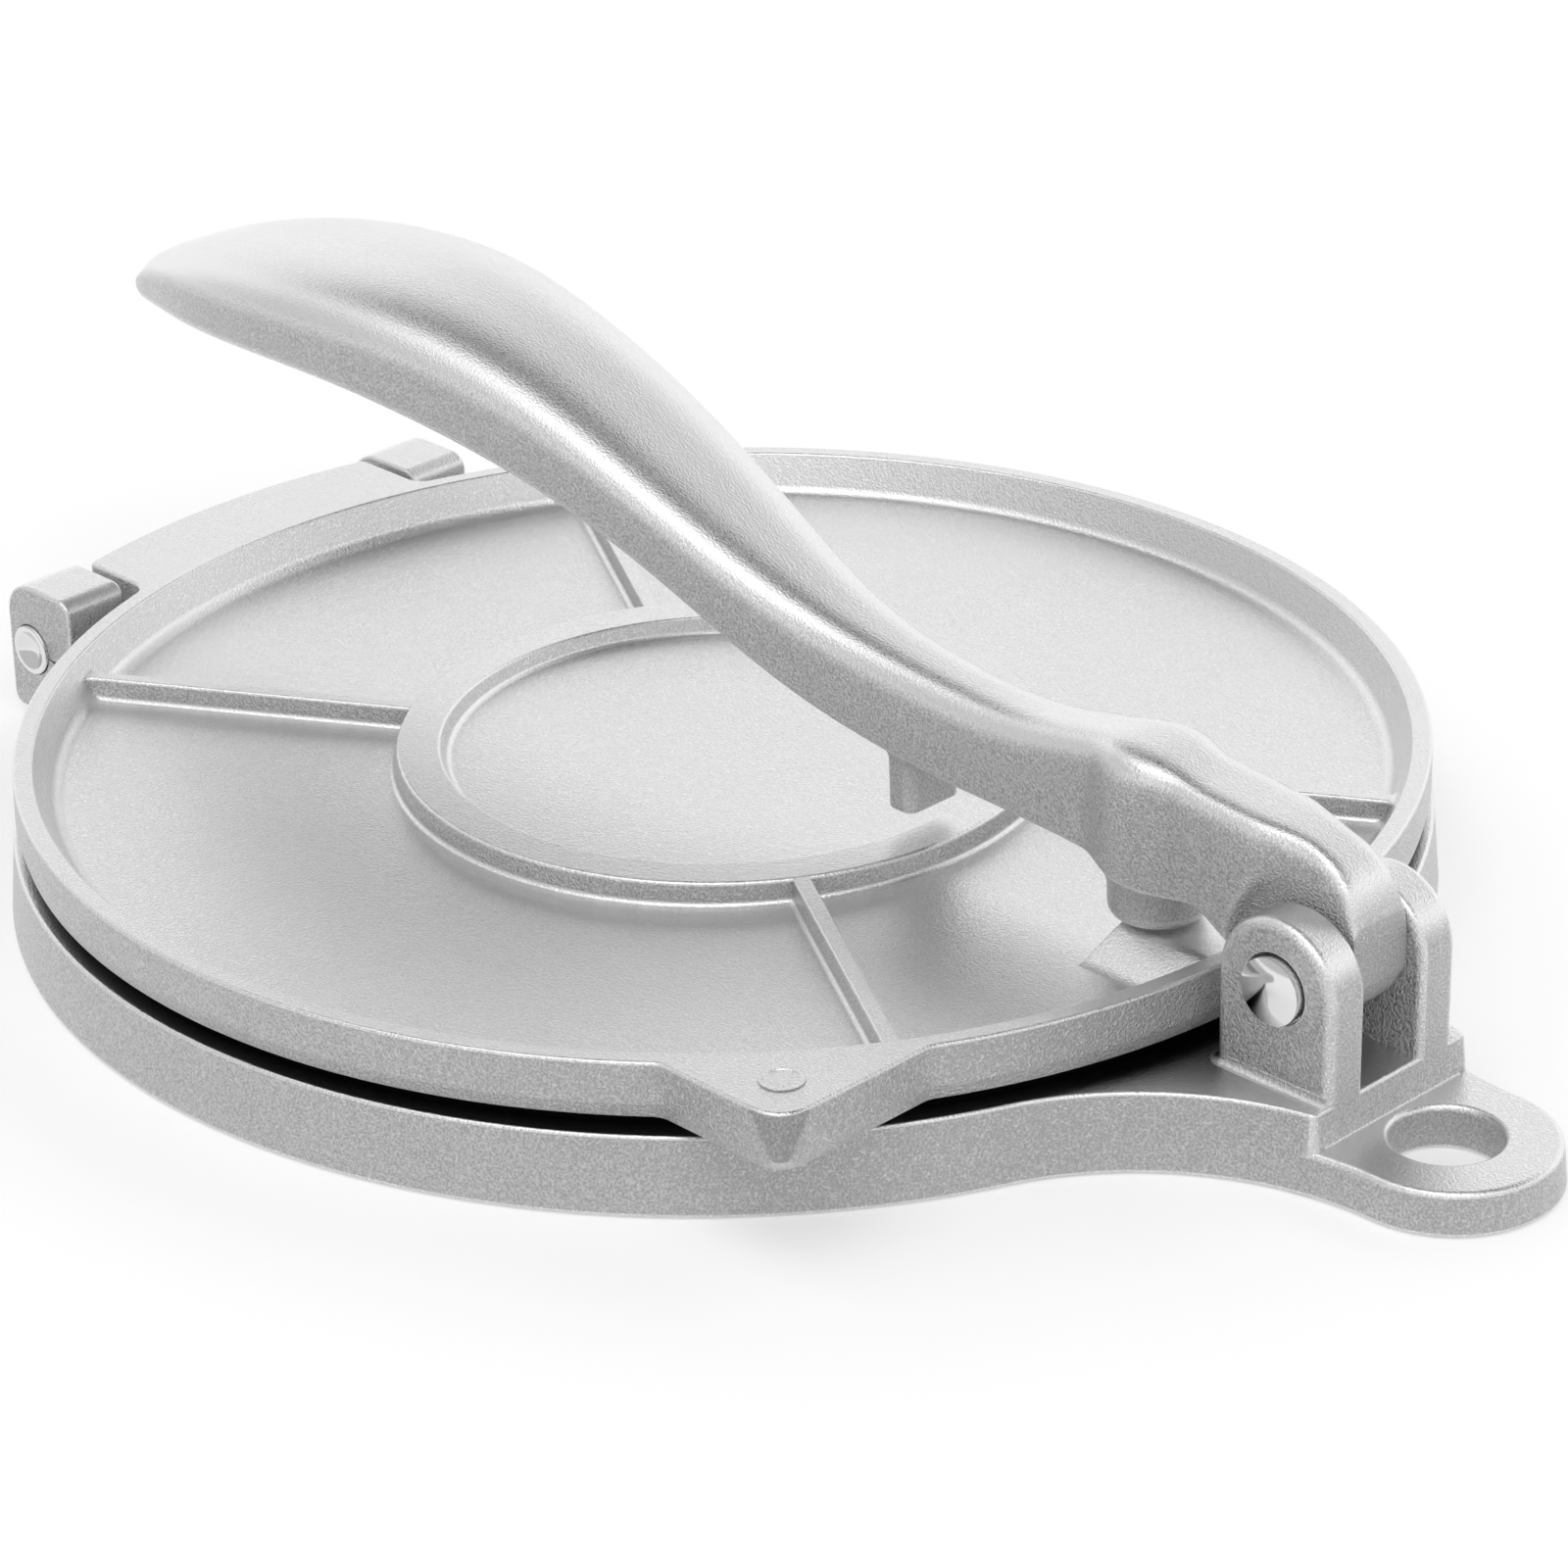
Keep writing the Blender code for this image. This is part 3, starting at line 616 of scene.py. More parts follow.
@dataclass
class UpperPlate:
    """The upper casting: a round plate with rim, ring, four ribs, pad, lifting tab and hinge tab."""

    top: float = 21.8
    bottom: float = 13.7
    floor: float = 16.2
    well: float = 17.15
    ring_top: float = 19.5
    ring_outer: float = 46.25
    ring_inner: float = 40.2
    rim_inner: float = 97.3
    rim_foot: float = 94.12
    hinge_tab_radius: float = 112.7
    hinge_tab_half: float = 27.4
    tab_x: float = 87.4
    tab_y: float = 75.3
    blunt_tip: float = 5.0
    sharp_tip: float = 1.1
    filed_height: float = 2.1
    mark_x: float = 80.1
    mark_y: float = -67.7
    rib_angle: float = 31.0
    rib_half: float = 1.2
    rib_top: float = 19.45
    pad_start: float = 80.3
    pad_top: float = 20.3
    pad_half: float = 5.1
    pad_foot: float = 11.7
    hinge_x: float = 108.7
    hinge_z: float = 11.7
    barrel: float = 5.8

    def outline(self, tip: float) -> Outline:
        """Draw the plate from above: the rim, with the hinge tab at -X and the lifting tab at the near side.

        Args:
            tip: the radius that rounds the tip of the lifting tab.

        Returns:
            The outline.
        """
        rim, web, corner = PLATE_RADIUS, 3.0, 1.2
        reach, half = self.hinge_tab_radius, self.hinge_tab_half
        corner_x = -math.sqrt((reach - corner) ** 2 - (half - corner) ** 2)
        corner_angle = math.atan2(-(half - corner), corner_x)
        web_x = -math.sqrt((rim + web) ** 2 - (half + web) ** 2)
        web_angle = math.atan2(half + web, -web_x)
        left_x = math.sqrt((rim + web) ** 2 - (self.tab_y + web) ** 2)
        left = (left_x, -(self.tab_y + web))
        right_y = math.sqrt((rim + web) ** 2 - (self.tab_x + web) ** 2)
        right = (self.tab_x + web, -right_y)
        left_angle, right_angle = math.atan2(left[1], left[0]), math.atan2(right[1], right[0])
        turn = math.pi
        pen = Pen().arc((0, 0), reach, -turn, corner_angle, 24)
        pen.arc((corner_x, -(half - corner)), corner, corner_angle, -turn / 2, 6)
        pen.line((corner_x, -half), (web_x, -half), 8)
        pen.arc((web_x, -(half + web)), web, turn / 2, web_angle, 10)
        pen.arc((0, 0), rim, web_angle - turn, left_angle, 120)
        pen.arc(left, web, left_angle + turn, turn / 2, 10)
        pen.line((left_x, -self.tab_y), (self.tab_x - tip, -self.tab_y), 14)
        pen.arc((self.tab_x - tip, -self.tab_y + tip), tip, -turn / 2, 0, 12)
        pen.line((self.tab_x, -self.tab_y + tip), (self.tab_x, -right_y), 18)
        pen.arc(right, web, turn, right_angle + turn, 10)
        pen.arc((0, 0), rim, right_angle, turn - web_angle, 280)
        pen.arc((web_x, half + web), web, -web_angle, -turn / 2, 10)
        pen.line((web_x, half), (corner_x, half), 8)
        pen.arc((corner_x, half - corner), corner, turn / 2, -corner_angle, 6)
        pen.arc((0, 0), reach, -corner_angle, turn, 24)
        return pen.outline()

    def body(self, casting: Casting) -> None:
        """Add the plate itself.

        Formula: rows of the grid are circles from the middle of the well out to the rim, then the plate's
        outline, moved out and down round its rounded edges, and back to the middle underneath. The tip of
        the lifting tab is blended from round at the top to sharp above the filed band along the lower edge,
        and back to round across that band.
        """
        blunt, sharp = self.outline(self.blunt_tip), self.outline(self.sharp_tip)
        inside = soften([(8, self.well), (self.ring_inner - 1.1, self.well, 1.0),
                         (self.ring_inner, self.ring_top, 0.5), (self.ring_outer, self.ring_top, 0.5),
                         (self.ring_outer + 0.55, self.floor, 0.9),
                         (self.rim_foot, self.floor, 2.4), (self.rim_inner, self.top, 0.45),
                         (self.rim_inner + 1.2, self.top)])
        filed = self.bottom + self.filed_height
        outside = soften([(-1.0, self.top), (0, self.top, 0.45), (0.1, filed, 0.9), (-0.45, self.bottom, 0.2),
                          (-1.0, self.bottom)])
        rows = [blunt.round(radius, height) for radius, height in inside]
        for offset, height in outside:
            share = min((self.top - height) / (self.top - filed), 1.0 - 0.4 * (filed - height))
            share = float(np.clip(share, 0.0, 1.0))
            rows.append(blunt.row(offset, height) * (1.0 - share) + sharp.row(offset, height) * share)
        rows += [blunt.round(radius, self.bottom) for radius in (98.4, 93.9, 50.0, 8.0)]
        casting.add(np.array(rows))

    def rib(self, casting: Casting, angle: float) -> None:
        """Add one rib between the ring and the rim.

        Formula: a section with flared feet, carried outwards, and wider near the rim by a hollow quarter
        circle so that it runs into the wall.

        Args:
            casting: what it is added to.
            angle: its direction from the middle, in degrees.
        """
        half, floor = self.rib_half, self.floor
        section = soften([(-3.4, floor - 0.5), (-3.2, floor - 0.04), (-half - 0.2, floor, 0.9),
                          (-half, self.rib_top, 0.4), (half, self.rib_top, 0.4), (half + 0.2, floor, 0.9),
                          (3.2, floor - 0.04), (3.4, floor - 0.5)])
        far = np.concatenate([np.linspace(45.6, 93.4, 20), np.linspace(93.7, 97.0, 12)])
        web = 1.6
        into = np.clip((far - 94.6) / web, 0.0, 1.0)
        flare = web - np.sqrt(web**2 - (web * into) ** 2)
        side = section[None, :, 0] + np.sign(section[None, :, 0]) * flare[:, None]
        casting.add(spoke(far, side, section[:, 1], angle), End.FACE, End.FACE)

    def pad(self, casting: Casting) -> None:
        """Add the pad that the presser bears on.

        Formula: the height is the rounded minimum of a level top, two long sloping sides and a steep end,
        and runs out into the floor by a rounded maximum.
        """
        along = np.concatenate([np.linspace(77.4, 82.4, 34), np.linspace(82.9, 97.0, 16)])
        across = np.linspace(-14.0, 14.0, 113)
        rise = self.pad_top - self.floor
        slope = rise / (self.pad_foot - self.pad_half)
        sides = (self.pad_foot - np.abs(across))[None, :] * slope
        lead = ((along - self.pad_start + 1.0) * rise)[:, None]
        height = soft_min(soft_min(sides, lead, 0.9), np.full_like(sides, rise), 0.5)
        height = soft_max(height, np.full_like(height, -0.06), 0.8)
        fade = np.minimum(14.0 - np.abs(across), 1.5)[None, :] + np.zeros_like(height)
        height = np.where(height < 0.2, height - 0.2 * (1.0 - ease(fade / 1.5)), height)
        casting.relief(along, across, self.floor + height, self.floor - 0.8)

    def extras(self, casting: Casting) -> None:
        """Add the hinge barrel under its tab and the round mark on the lifting tab."""
        end = self.hinge_tab_half
        barrel = soften([(4.1, 3.0 - end), (4.1, -end, 0.4), (self.barrel, -end, 0.6),
                         (self.barrel, end, 0.6), (4.1, end, 0.4), (4.1, end - 3.0)])
        casting.turned(barrel, (-self.hinge_x, self.hinge_z), Axis.ACROSS)
        mark = soften([(0.5, self.top - 0.4), (3.05, self.top - 0.4), (3.05, self.top + 0.20, 0.10),
                       (2.6, self.top + 0.20, 0.10), (2.45, self.top + 0.04), (0.4, self.top + 0.04)], 3)
        casting.turned(mark, (self.mark_x, self.mark_y), Axis.UP, 48)

    def shade(self, x: np.ndarray, y: np.ndarray, z: np.ndarray) -> np.ndarray:
        """Return 1 on the cone at the tip of the lifting tab and on the edge of its round mark, else 0: where
        painted shade darkens the metal.
        """
        down = np.clip((self.top - z) / (self.top - self.bottom - self.filed_height), 0.0, 1.0)
        near = self.blunt_tip + 0.05 - down * (self.blunt_tip - self.sharp_tip)
        # Painted shade on the facet of the tab's cone.
        cone = (x > self.tab_x - near) & (y < near - self.tab_y) & (z > 15.7) & (z < self.top - 0.3)
        out = np.hypot(x - self.mark_x, y - self.mark_y)
        # Painted shade on the outer edge of the round mark.
        mark = (out > 2.98) & (out < 3.1) & (z > self.top - 0.1)
        return (cone | mark).astype(float)

    def build(self, dress: bpy.types.Material) -> None:
        """Build the whole casting in that material."""
        casting = Casting("upper_plate_casting")
        self.body(casting)
        for angle in (self.rib_angle, -self.rib_angle, 180.0 - self.rib_angle, 180.0 + self.rib_angle):
            self.rib(casting, angle)
        self.pad(casting)
        self.extras(casting)
        casting.finish(dress, "upper_plate", ["upper_plate"], self.shade)


@dataclass
class Base:
    """The lower casting: a round base with waisted neck, fork, end lug with a hole, and two hinge lugs."""

    radius: float = 100.6
    top: float = 11.46
    draft: float = 1.0
    face_radius: float = 95.0
    face_top: float = 13.4
    waist: float = 43.0
    lug_radius: float = 14.2
    lug_top: float = 6.25
    hole_x: float = 131.8
    hole_radius: float = 7.4
    step_x: float = 122.5
    hollow_top: float = 9.8
    under_ring: float = 6.5
    pin_x: float = 113.0
    pin_z: float = 25.1
    ear_radius: float = 9.6
    ear_inner: float = 5.63
    ear_outer: float = 12.4
    hinge_x: float = 108.7
    hinge_z: float = 11.7
    hinge_inner: float = 28.95
    hinge_outer: float = 39.7

    def waist_centre(self) -> Tuple[float, float]:
        """Return the centre of the near waist: it touches the round base and the lug."""
        low = self.lug_radius + self.waist
        return math.sqrt((self.radius + self.waist) ** 2 - low**2), -low

    def disc_outline(self) -> Outline:
        """Draw the base and its neck from above, up to the step behind the fork."""
        centre = self.waist_centre()
        corner = 1.0
        to_base = math.atan2(centre[1], centre[0])
        corner_x = self.step_x - corner
        corner_y = centre[1] + math.sqrt((self.waist + corner) ** 2 - (corner_x - centre[0]) ** 2)
        at_corner = math.atan2(corner_y - centre[1], corner_x - centre[0])
        turn = math.pi
        pen = Pen().arc((0, 0), self.radius, -turn, to_base, 250)
        pen.arc(centre, self.waist, to_base + turn, at_corner, 60)
        pen.arc((corner_x, corner_y), corner, at_corner - turn, 0, 8)
        pen.line((self.step_x, corner_y), (self.step_x, -corner_y), 16)
        pen.arc((corner_x, -corner_y), corner, 0, turn - at_corner, 8)
        pen.arc((centre[0], -centre[1]), self.waist, -at_corner, -to_base - turn, 60)
        pen.arc((0, 0), self.radius, -to_base, turn, 250)
        return pen.outline()

    def body(self, casting: Casting) -> None:
        """Add the round base and its neck.

        Formula: rows of the grid are circles over the raised pressing face, then the outline down the
        drafted wall, and circles again through the hollow underneath, with its ring.
        """
        outline = self.disc_outline()
        face = soften([(8, self.face_top), (self.face_radius, self.face_top, 0.5),
                       (self.face_radius + 0.3, self.top, 0.5), (97.4, self.top)])
        wall = soften([(-0.98, self.top), (0, self.top, 0.9), (self.draft, 0, 0.6), (-0.98, 0)])
        high, low = self.hollow_top, self.under_ring
        hollow = soften([(97.0, 0), (95.6, 0, 0.5), (94.6, high, 1.2), (46.6, high, 0.9), (46.0, low, 0.5),
                         (41.0, low, 0.5), (40.4, high, 0.9), (8, high)])
        rows = [outline.round(radius, height) for radius, height in face]
        rows += [outline.row(offset, height) for offset, height in wall]
        rows += [outline.round(radius, height) for radius, height in hollow]
        casting.add(np.array(rows))

    def under_rib(self, casting: Casting, angle: float) -> None:
        """Add one low rib in the hollow underneath: a section with sloping sides, carried outwards.

        Args:
            casting: what it is added to.
            angle: its direction from the middle, in degrees.
        """
        top = self.hollow_top
        section = soften([(-4.0, top + 0.8), (-3.8, top + 0.05), (-2.3, top, 0.9), (-2.0, 6.6, 0.5),
                          (2.0, 6.6, 0.5), (2.3, top, 0.9), (3.8, top + 0.05), (4.0, top + 0.8)])
        far = np.linspace(44.0, 95.8, 12)
        casting.add(spoke(far, section[None, :, 0], section[:, 1], angle), End.FACE, End.FACE)

    def lug(self, casting: Casting) -> None:
        """Add the low end lug with its hanging hole: rows round the hole, over the top, down and under."""
        centre = self.waist_centre()
        start, corner, turn = 120.7, 3.0, math.pi
        first = math.acos((start - centre[0]) / self.waist)
        inside = self.waist + corner
        corner_x, corner_y = centre[0] + inside * math.cos(first), centre[1] + inside * math.sin(first)
        middle = centre[0] + 0.5
        pen = Pen().line((corner_x - corner, 0), (corner_x - corner, corner_y), 8)
        pen.arc((corner_x, corner_y), corner, -turn, first - turn, 10)
        pen.arc(centre, self.waist, first, turn / 2, 16)
        pen.arc((middle, 0), self.lug_radius, -turn / 2, turn / 2, 90)
        pen.arc((centre[0], -centre[1]), self.waist, -turn / 2, -first, 16)
        pen.arc((corner_x, -corner_y), corner, turn - first, turn, 10)
        pen.line((corner_x - corner, -corner_y), (corner_x - corner, 0), 8)
        outline, hole = pen.outline(), (self.hole_x, 0.0)
        inner = soften([(9.2, 0), (self.hole_radius, 0, 0.5), (self.hole_radius, self.lug_top, 0.8),
                        (9.2, self.lug_top)])
        lean = self.draft * (1.0 - self.lug_top / self.top) + 0.02
        outer = soften([(-1.2, self.lug_top), (lean, self.lug_top, 1.0), (self.draft + 0.02, 0, 0.6),
                        (-1.2, 0)])
        rows = [outline.round(radius, height, hole) for radius, height in inner]
        rows += [outline.row(offset, height) for offset, height in outer]
        casting.add(np.array(rows), ring=True)

    def carry(self, casting: Casting, outline: Outline, pin: Tuple[float, float], edge: np.ndarray,
              recess: np.ndarray, side: float) -> None:
        """Add an upright outline carried across, drawn in at both faces, with a recess round the pin.

        Args:
            casting: what it is added to.
            outline: the outline, in x and z.
            pin: the middle of the pin, in x and z.
            edge: offsets and places across, from the inner face to the outer one.
            recess: radii round the pin and places across, from the outer face inwards.
            side: -1 on the near side, 1 on the far one.
        """
        rows = [outline.round(1.0, edge[0, 1], pin)]
        rows += [outline.row(offset, across) for offset, across in edge]
        rows += [outline.round(radius, across, pin) for radius, across in recess]
        grid = np.array(rows)
        casting.add(np.stack([grid[..., 0], grid[..., 2] * side, grid[..., 1]], axis=-1))

    def ear(self, casting: Casting, side: float) -> None:
        """Add one ear of the fork.

        Formula: an upright outline with a round top is carried across the ear, drawn in at both faces round
        rounded edges, and the outer face runs in to the recess round the pin.

        Args:
            casting: what it is added to.
            side: -1 for the near ear, 1 for the far one.
        """
        low, bend, turn = 5.6, 3.4, math.pi
        x, z, radius = self.pin_x, self.pin_z, self.ear_radius
        pen = Pen().line((x - radius + bend, low), (x + radius - bend, low), 14)
        pen.arc((x + radius - bend, low + bend), bend, -turn / 2, 0, 8)
        pen.line((x + radius, low + bend), (x + radius, z), 26)
        pen.arc((x, z), radius, 0, turn, 60)
        pen.line((x - radius, z), (x - radius, low + bend), 26)
        pen.arc((x - radius + bend, low + bend), bend, turn, turn * 1.5, 8)
        inner, outer = self.ear_inner, self.ear_outer
        edge = soften([(-3.0, inner), (0, inner, 1.0), (0, outer, 1.7), (-3.0, outer)], 8)
        recess = soften([(5.9, outer), (4.95, outer, 0.35), (4.9, outer - 1.6), (1.0, outer - 1.6)])
        self.carry(casting, pen.outline(), (x, z), edge, recess, side)

    def foot(self, casting: Casting, side: float) -> None:
        """Add the thin fillet at the foot of one ear.

        Formula: a three-cornered section with a hollow face, carried along the front and the outer side.

        Args:
            casting: what it is added to.
            side: -1 for the near ear, 1 for the far one.
        """
        front, rear, outer, corner = self.pin_x - self.ear_radius, self.step_x, self.ear_outer, 1.7
        angle = np.linspace(math.pi, math.pi / 2, 8)
        bend = np.column_stack([front + corner + corner * np.cos(angle),
                                outer - corner + corner * np.sin(angle)])
        path = np.vstack([[[front, self.ear_inner + 0.4]], bend, [[rear - 0.6, outer]]])
        out = np.vstack([[[-1.0, 0.0]], np.column_stack([np.cos(angle), np.sin(angle)]), [[0.0, 1.0]]])
        fillet = 1.3
        sweep = np.linspace(math.pi / 2, 0.0, 7)
        curve = np.column_stack([fillet - fillet * np.cos(sweep), fillet - fillet * np.sin(sweep)])
        section = np.vstack([[[-1.0, -0.8]], [[fillet + 0.3, -0.8]], [[fillet + 0.3, -0.03]], curve,
                             [[-1.0, fillet]]])
        rows = path[:, None, :] + out[:, None, :] * section[None, :, :1]
        height = np.broadcast_to(self.top + section[None, :, 1], rows.shape[:2])
        casting.add(np.stack([rows[..., 0], rows[..., 1] * side, height], axis=-1), End.FACE, End.FACE)

    def step_foot(self, casting: Casting) -> None:
        """Add the fillet where the step behind the fork comes down on the lug."""
        across = np.linspace(-13.6, 13.6, 24)
        sweep = np.linspace(0.0, math.pi / 2, 8)
        fillet, x = 0.7, self.step_x + 0.2
        curve = np.column_stack([x + fillet - fillet * np.cos(sweep),
                                 self.lug_top + fillet - fillet * np.sin(sweep)])
        section = np.vstack([curve, [[x + fillet, self.lug_top - 0.8]], [[x - 1.5, self.lug_top - 0.8]],
                             [[x - 1.5, self.lug_top + fillet]]])
        shape = (len(across), len(section))
        rows = np.stack([np.broadcast_to(section[:, 0], shape), np.broadcast_to(across[:, None], shape),
                         np.broadcast_to(section[:, 1], shape)], axis=-1)
        casting.add(rows, End.FACE, End.FACE)

    def hinge_lug(self, casting: Casting, side: float) -> None:
        """Add one hinge lug: an upright outline with a round top, carried across, with the pin's recess.

        Args:
            casting: what it is added to.
            side: -1 for the near lug, 1 for the far one.
        """
        x, z, radius = -self.hinge_x + 2.2, self.hinge_z + 2.7, 7.5
        turn = math.pi
        low, bend, inside, shelf = 1.4, 2.1, -88.0, 10.6
        pen = Pen().line((x - radius + bend, low), (inside - bend, low), 20)
        pen.arc((inside - bend, low + bend), bend, -turn / 2, 0, 8)
        pen.line((inside, low + bend), (inside, shelf - bend), 6)
        pen.arc((inside - bend, shelf - bend), bend, 0, turn / 2, 8)
        pen.line((inside - bend, shelf), (x + radius + 1.2, shelf), 8)
        pen.arc((x + radius + 1.2, shelf + 1.2), 1.2, -turn / 2, -turn, 5)
        top, crisp, blunt = z + radius, 2.6, 5.2
        pen.line((x + radius, shelf + 1.2), (x + radius, top - crisp), 10)
        pen.arc((x + radius - crisp, top - crisp), crisp, 0, turn / 2, 12)
        pen.line((x + radius - crisp, top), (x - radius + blunt, top), 8)
        pen.arc((x - radius + blunt, top - blunt), blunt, turn / 2, turn, 20)
        pen.line((x - radius, top - blunt), (x - radius, low + bend), 20)
        pen.arc((x - radius + bend, low + bend), bend, turn, turn * 1.5, 8)
        inner, outer = self.hinge_inner, self.hinge_outer
        edge = soften([(-1.0, inner), (0, inner, 0.9), (0, outer, 0.9), (-1.0, outer)], 6)
        recess = soften([(4.22, outer), (3.95, outer, 0.2), (3.95, outer - 1.6), (1.0, outer - 1.6)])
        self.carry(casting, pen.outline(), (-self.hinge_x, self.hinge_z), edge, recess, side)

    def build(self, dress: bpy.types.Material) -> None:
        """Build the whole casting in that material."""
        casting = Casting("base_casting")
        self.body(casting)
        for angle in (31.0, -31.0, 149.0, 211.0):
            self.under_rib(casting, angle)
        self.lug(casting)
        self.step_foot(casting)
        for side in (-1.0, 1.0):
            self.ear(casting, side)
            self.foot(casting, side)
            self.hinge_lug(casting, side)
        casting.finish(dress, "base", ["base"])


@dataclass
class Lever:
    """The third casting: the domed grip, the boxy arm with its nub and boss, and the knuckle in the fork."""

    tip_x: float = -127.9
    rear_x: float = 119.95
    pin_x: float = 113.0
    pin_z: float = 25.1
    boss_x: float = 82.4
    boss_radius: float = 9.2
    boss_curve: float = 7.5
    presser_radius: float = 6.8
    presser_bottom: float = 20.6
    knuckle_half: float = 5.2
    wall: float = 3.2
    hollow_depth: float = 5.5
    tip_length: float = 10.0
    blend: float = 1.7
    fade: float = 0.15
    columns: int = 112
    widths: Tuple[Tuple[float, float], ...] = (
        (-127.9, 2.8), (-124, 4.3), (-120, 5.9), (-110, 11.4), (-95, 17.1), (-80, 19.3), (-60, 19.4),
        (-40, 16.4), (-20, 14.1), (0, 11.9), (20, 9.1), (34, 7.3), (45, 7.0), (75, 7.0), (119.95, 7.0))
    tops: Tuple[Tuple[float, float], ...] = (
        (-127.9, 56.8), (-124, 59.5), (-120, 62.2), (-110, 67.5), (-95, 72.0), (-80, 74.0), (-60, 75.0),
        (-40, 72.5), (-20, 66.6), (0, 57.8), (20, 48.6), (40, 44.2), (61.3, 43.5), (72, 45.1), (79, 46.2),
        (84, 46.0), (91, 44.4), (98, 43.6), (105.5, 42.9), (110.6, 42.0), (115.1, 40.2), (118, 37.5),
        (119.4, 34.7), (119.95, 31.0))
    bottoms: Tuple[Tuple[float, float], ...] = (
        (-127.9, 53.6), (-124, 54.5), (-120, 55.9), (-110, 58.3), (-95, 60.3), (-80, 61.5), (-60, 61.9),
        (-40, 58.8), (-20, 54.4), (0, 47.0), (20, 36.4), (40, 31.4), (60, 30.3), (75, 29.4), (88.7, 27.0),
        (94.7, 27.7),
        (98.8, 25.4), (106.5, 20.0), (109.8, 18.6), (113, 18.15), (116.5, 19.1), (118.5, 20.8), (119.6, 23.2),
        (119.95, 25.1))
    squareness: Tuple[Tuple[float, float], ...] = (
        (-127.9, 2.2), (-110, 2.6), (-95, 2.9), (-80, 3.1), (-60, 3.2), (-40, 3.4), (-20, 3.6), (0, 3.7),
        (20, 3.5), (40, 3.2), (60, 3.3), (80, 4.5), (100, 6.5), (119.95, 7.5))
    lips: Tuple[Tuple[float, float], ...] = (
        (-127.9, 0.8), (-110, 1.5), (-60, 1.8), (0, 1.8), (40, 2.0), (119.95, 2.2))

    def curve(self, x: np.ndarray, table: Tuple[Tuple[float, float], ...]) -> np.ndarray:
        """Return a smooth curve through a table of places and values.

        Formula: the places are read as the square root of the distance from the rear end, in which the
        round rear end is an even curve.

        Args:
            x: the places wanted.
            table: places and values.

        Returns:
            The values at x.
        """
        places = [-math.sqrt(self.rear_x - place) for place, _ in table]
        return through(-np.sqrt(np.maximum(self.rear_x - x, 0.0)), places, [value for _, value in table])

    def half_width(self, x: np.ndarray, z: np.ndarray, plain: np.ndarray) -> np.ndarray:
        """Return half the lever's width at each place of its side.

        Formula: the plain width, with the swelling of the boss joined on by a rounded maximum and fading
        towards the top, then cut down to the knuckle's width near the pin, inside the ears' reach.

        Args:
            x: the places along the lever.
            z: the heights.
            plain: the width of the arm there.

        Returns:
            The half widths.
        """
        boss = self.boss_radius - (x - self.boss_x) ** 2 / (2.0 * self.boss_curve)
        swell = soft_max(plain, boss, self.blend) - plain
        wide = plain + swell * (1.0 - self.fade * ease((z - 37.0) / 9.0))
        far = np.hypot(x - self.pin_x, z - self.pin_z)
        clear = ease((far - 11.2) / 2.2) * ease((112.0 - x) / 10.0)
        return self.knuckle_half + (wide - self.knuckle_half) * np.where(x > 90.0, clear, 1.0)

    def body(self, casting: Casting) -> None:
        """Add the lever from tip to knuckle.

        Formula: each row is a slice across the lever. Over the lip it is a superellipse, taken by its
        angle, and under it a shallow one, pushed up in the middle to form the hollow underneath. Towards
        the tip both shrink like a circle does towards its edge.
        """
        tip = self.tip_x + 0.01 + self.tip_length * np.linspace(0.0, 1.0, 26) ** 2
        grip = np.linspace(tip[-1] + 1.0, 73.0, 190)
        rear = self.rear_x - np.linspace(math.sqrt(self.rear_x - 73.4), 0.0, 150) ** 2
        line = np.concatenate([tip, grip, rear])
        x = line[:, None]
        point = np.sqrt(1.0 - (1.0 - np.clip((x - self.tip_x) / self.tip_length, 0.0, 1.0)) ** 2)
        reach = np.minimum(0.9 + 8.0 * ease((66.0 - line) / 24.0), 1.2 + 0.5 * (line - self.tip_x))
        plain, top, low, power = (calm(self.curve(line, table), line, reach)[:, None] for table in (
            self.widths, self.tops, self.bottoms, self.squareness))
        plain = plain * point
        middle, half = (top + low) / 2.0, (top - low) / 2.0 * point
        top, low = middle + half, middle - half
        lip = self.curve(x, self.lips) * point
        angle = np.linspace(0.0, 2.0 * math.pi, self.columns, endpoint=False)[None, :]
        cos, sin = np.cos(angle), np.sin(angle)
        away = ((np.abs(cos) / plain) ** power + (np.abs(sin) / (top - low - lip)) ** power) ** (-1.0 / power)
        under = lip * (1.0 - np.abs(cos) ** 6) ** (1.0 / 6.0)
        hollow = self.hollow_depth * ease((x + 117.0) / 14.0) * ease((62.0 - x) / 16.0)
        inward = ease((plain - self.wall * 0.55 - np.abs(plain * cos)) / 2.6)
        side = np.where(sin >= 0.0, away * cos, plain * cos)
        height = low + lip + np.where(sin >= 0.0, away * sin, hollow * inward - under)
        wide = self.half_width(x, height, plain)
        casting.add(np.stack([np.broadcast_to(x, side.shape), side * wide / plain, height], axis=-1))

    def presser(self, casting: Casting) -> None:
        """Add the round presser under the boss: a turned post that flares into it."""
        radius, low = self.presser_radius, self.presser_bottom
        flare = np.linspace(0.0, 1.0, 12)[:, None]
        post = soften([(1.0, low), (radius - 0.1, low, 2.3), (radius, low + 4.0)])
        skirt = np.column_stack([radius + 2.2 * ease(flare), low + 4.3 + 6.6 * flare])
        profile = np.vstack([post, skirt, [[8.9, 34.0]], [[2.0, 34.0]]])
        casting.turned(profile, (self.boss_x, 0.0), Axis.UP, 96)

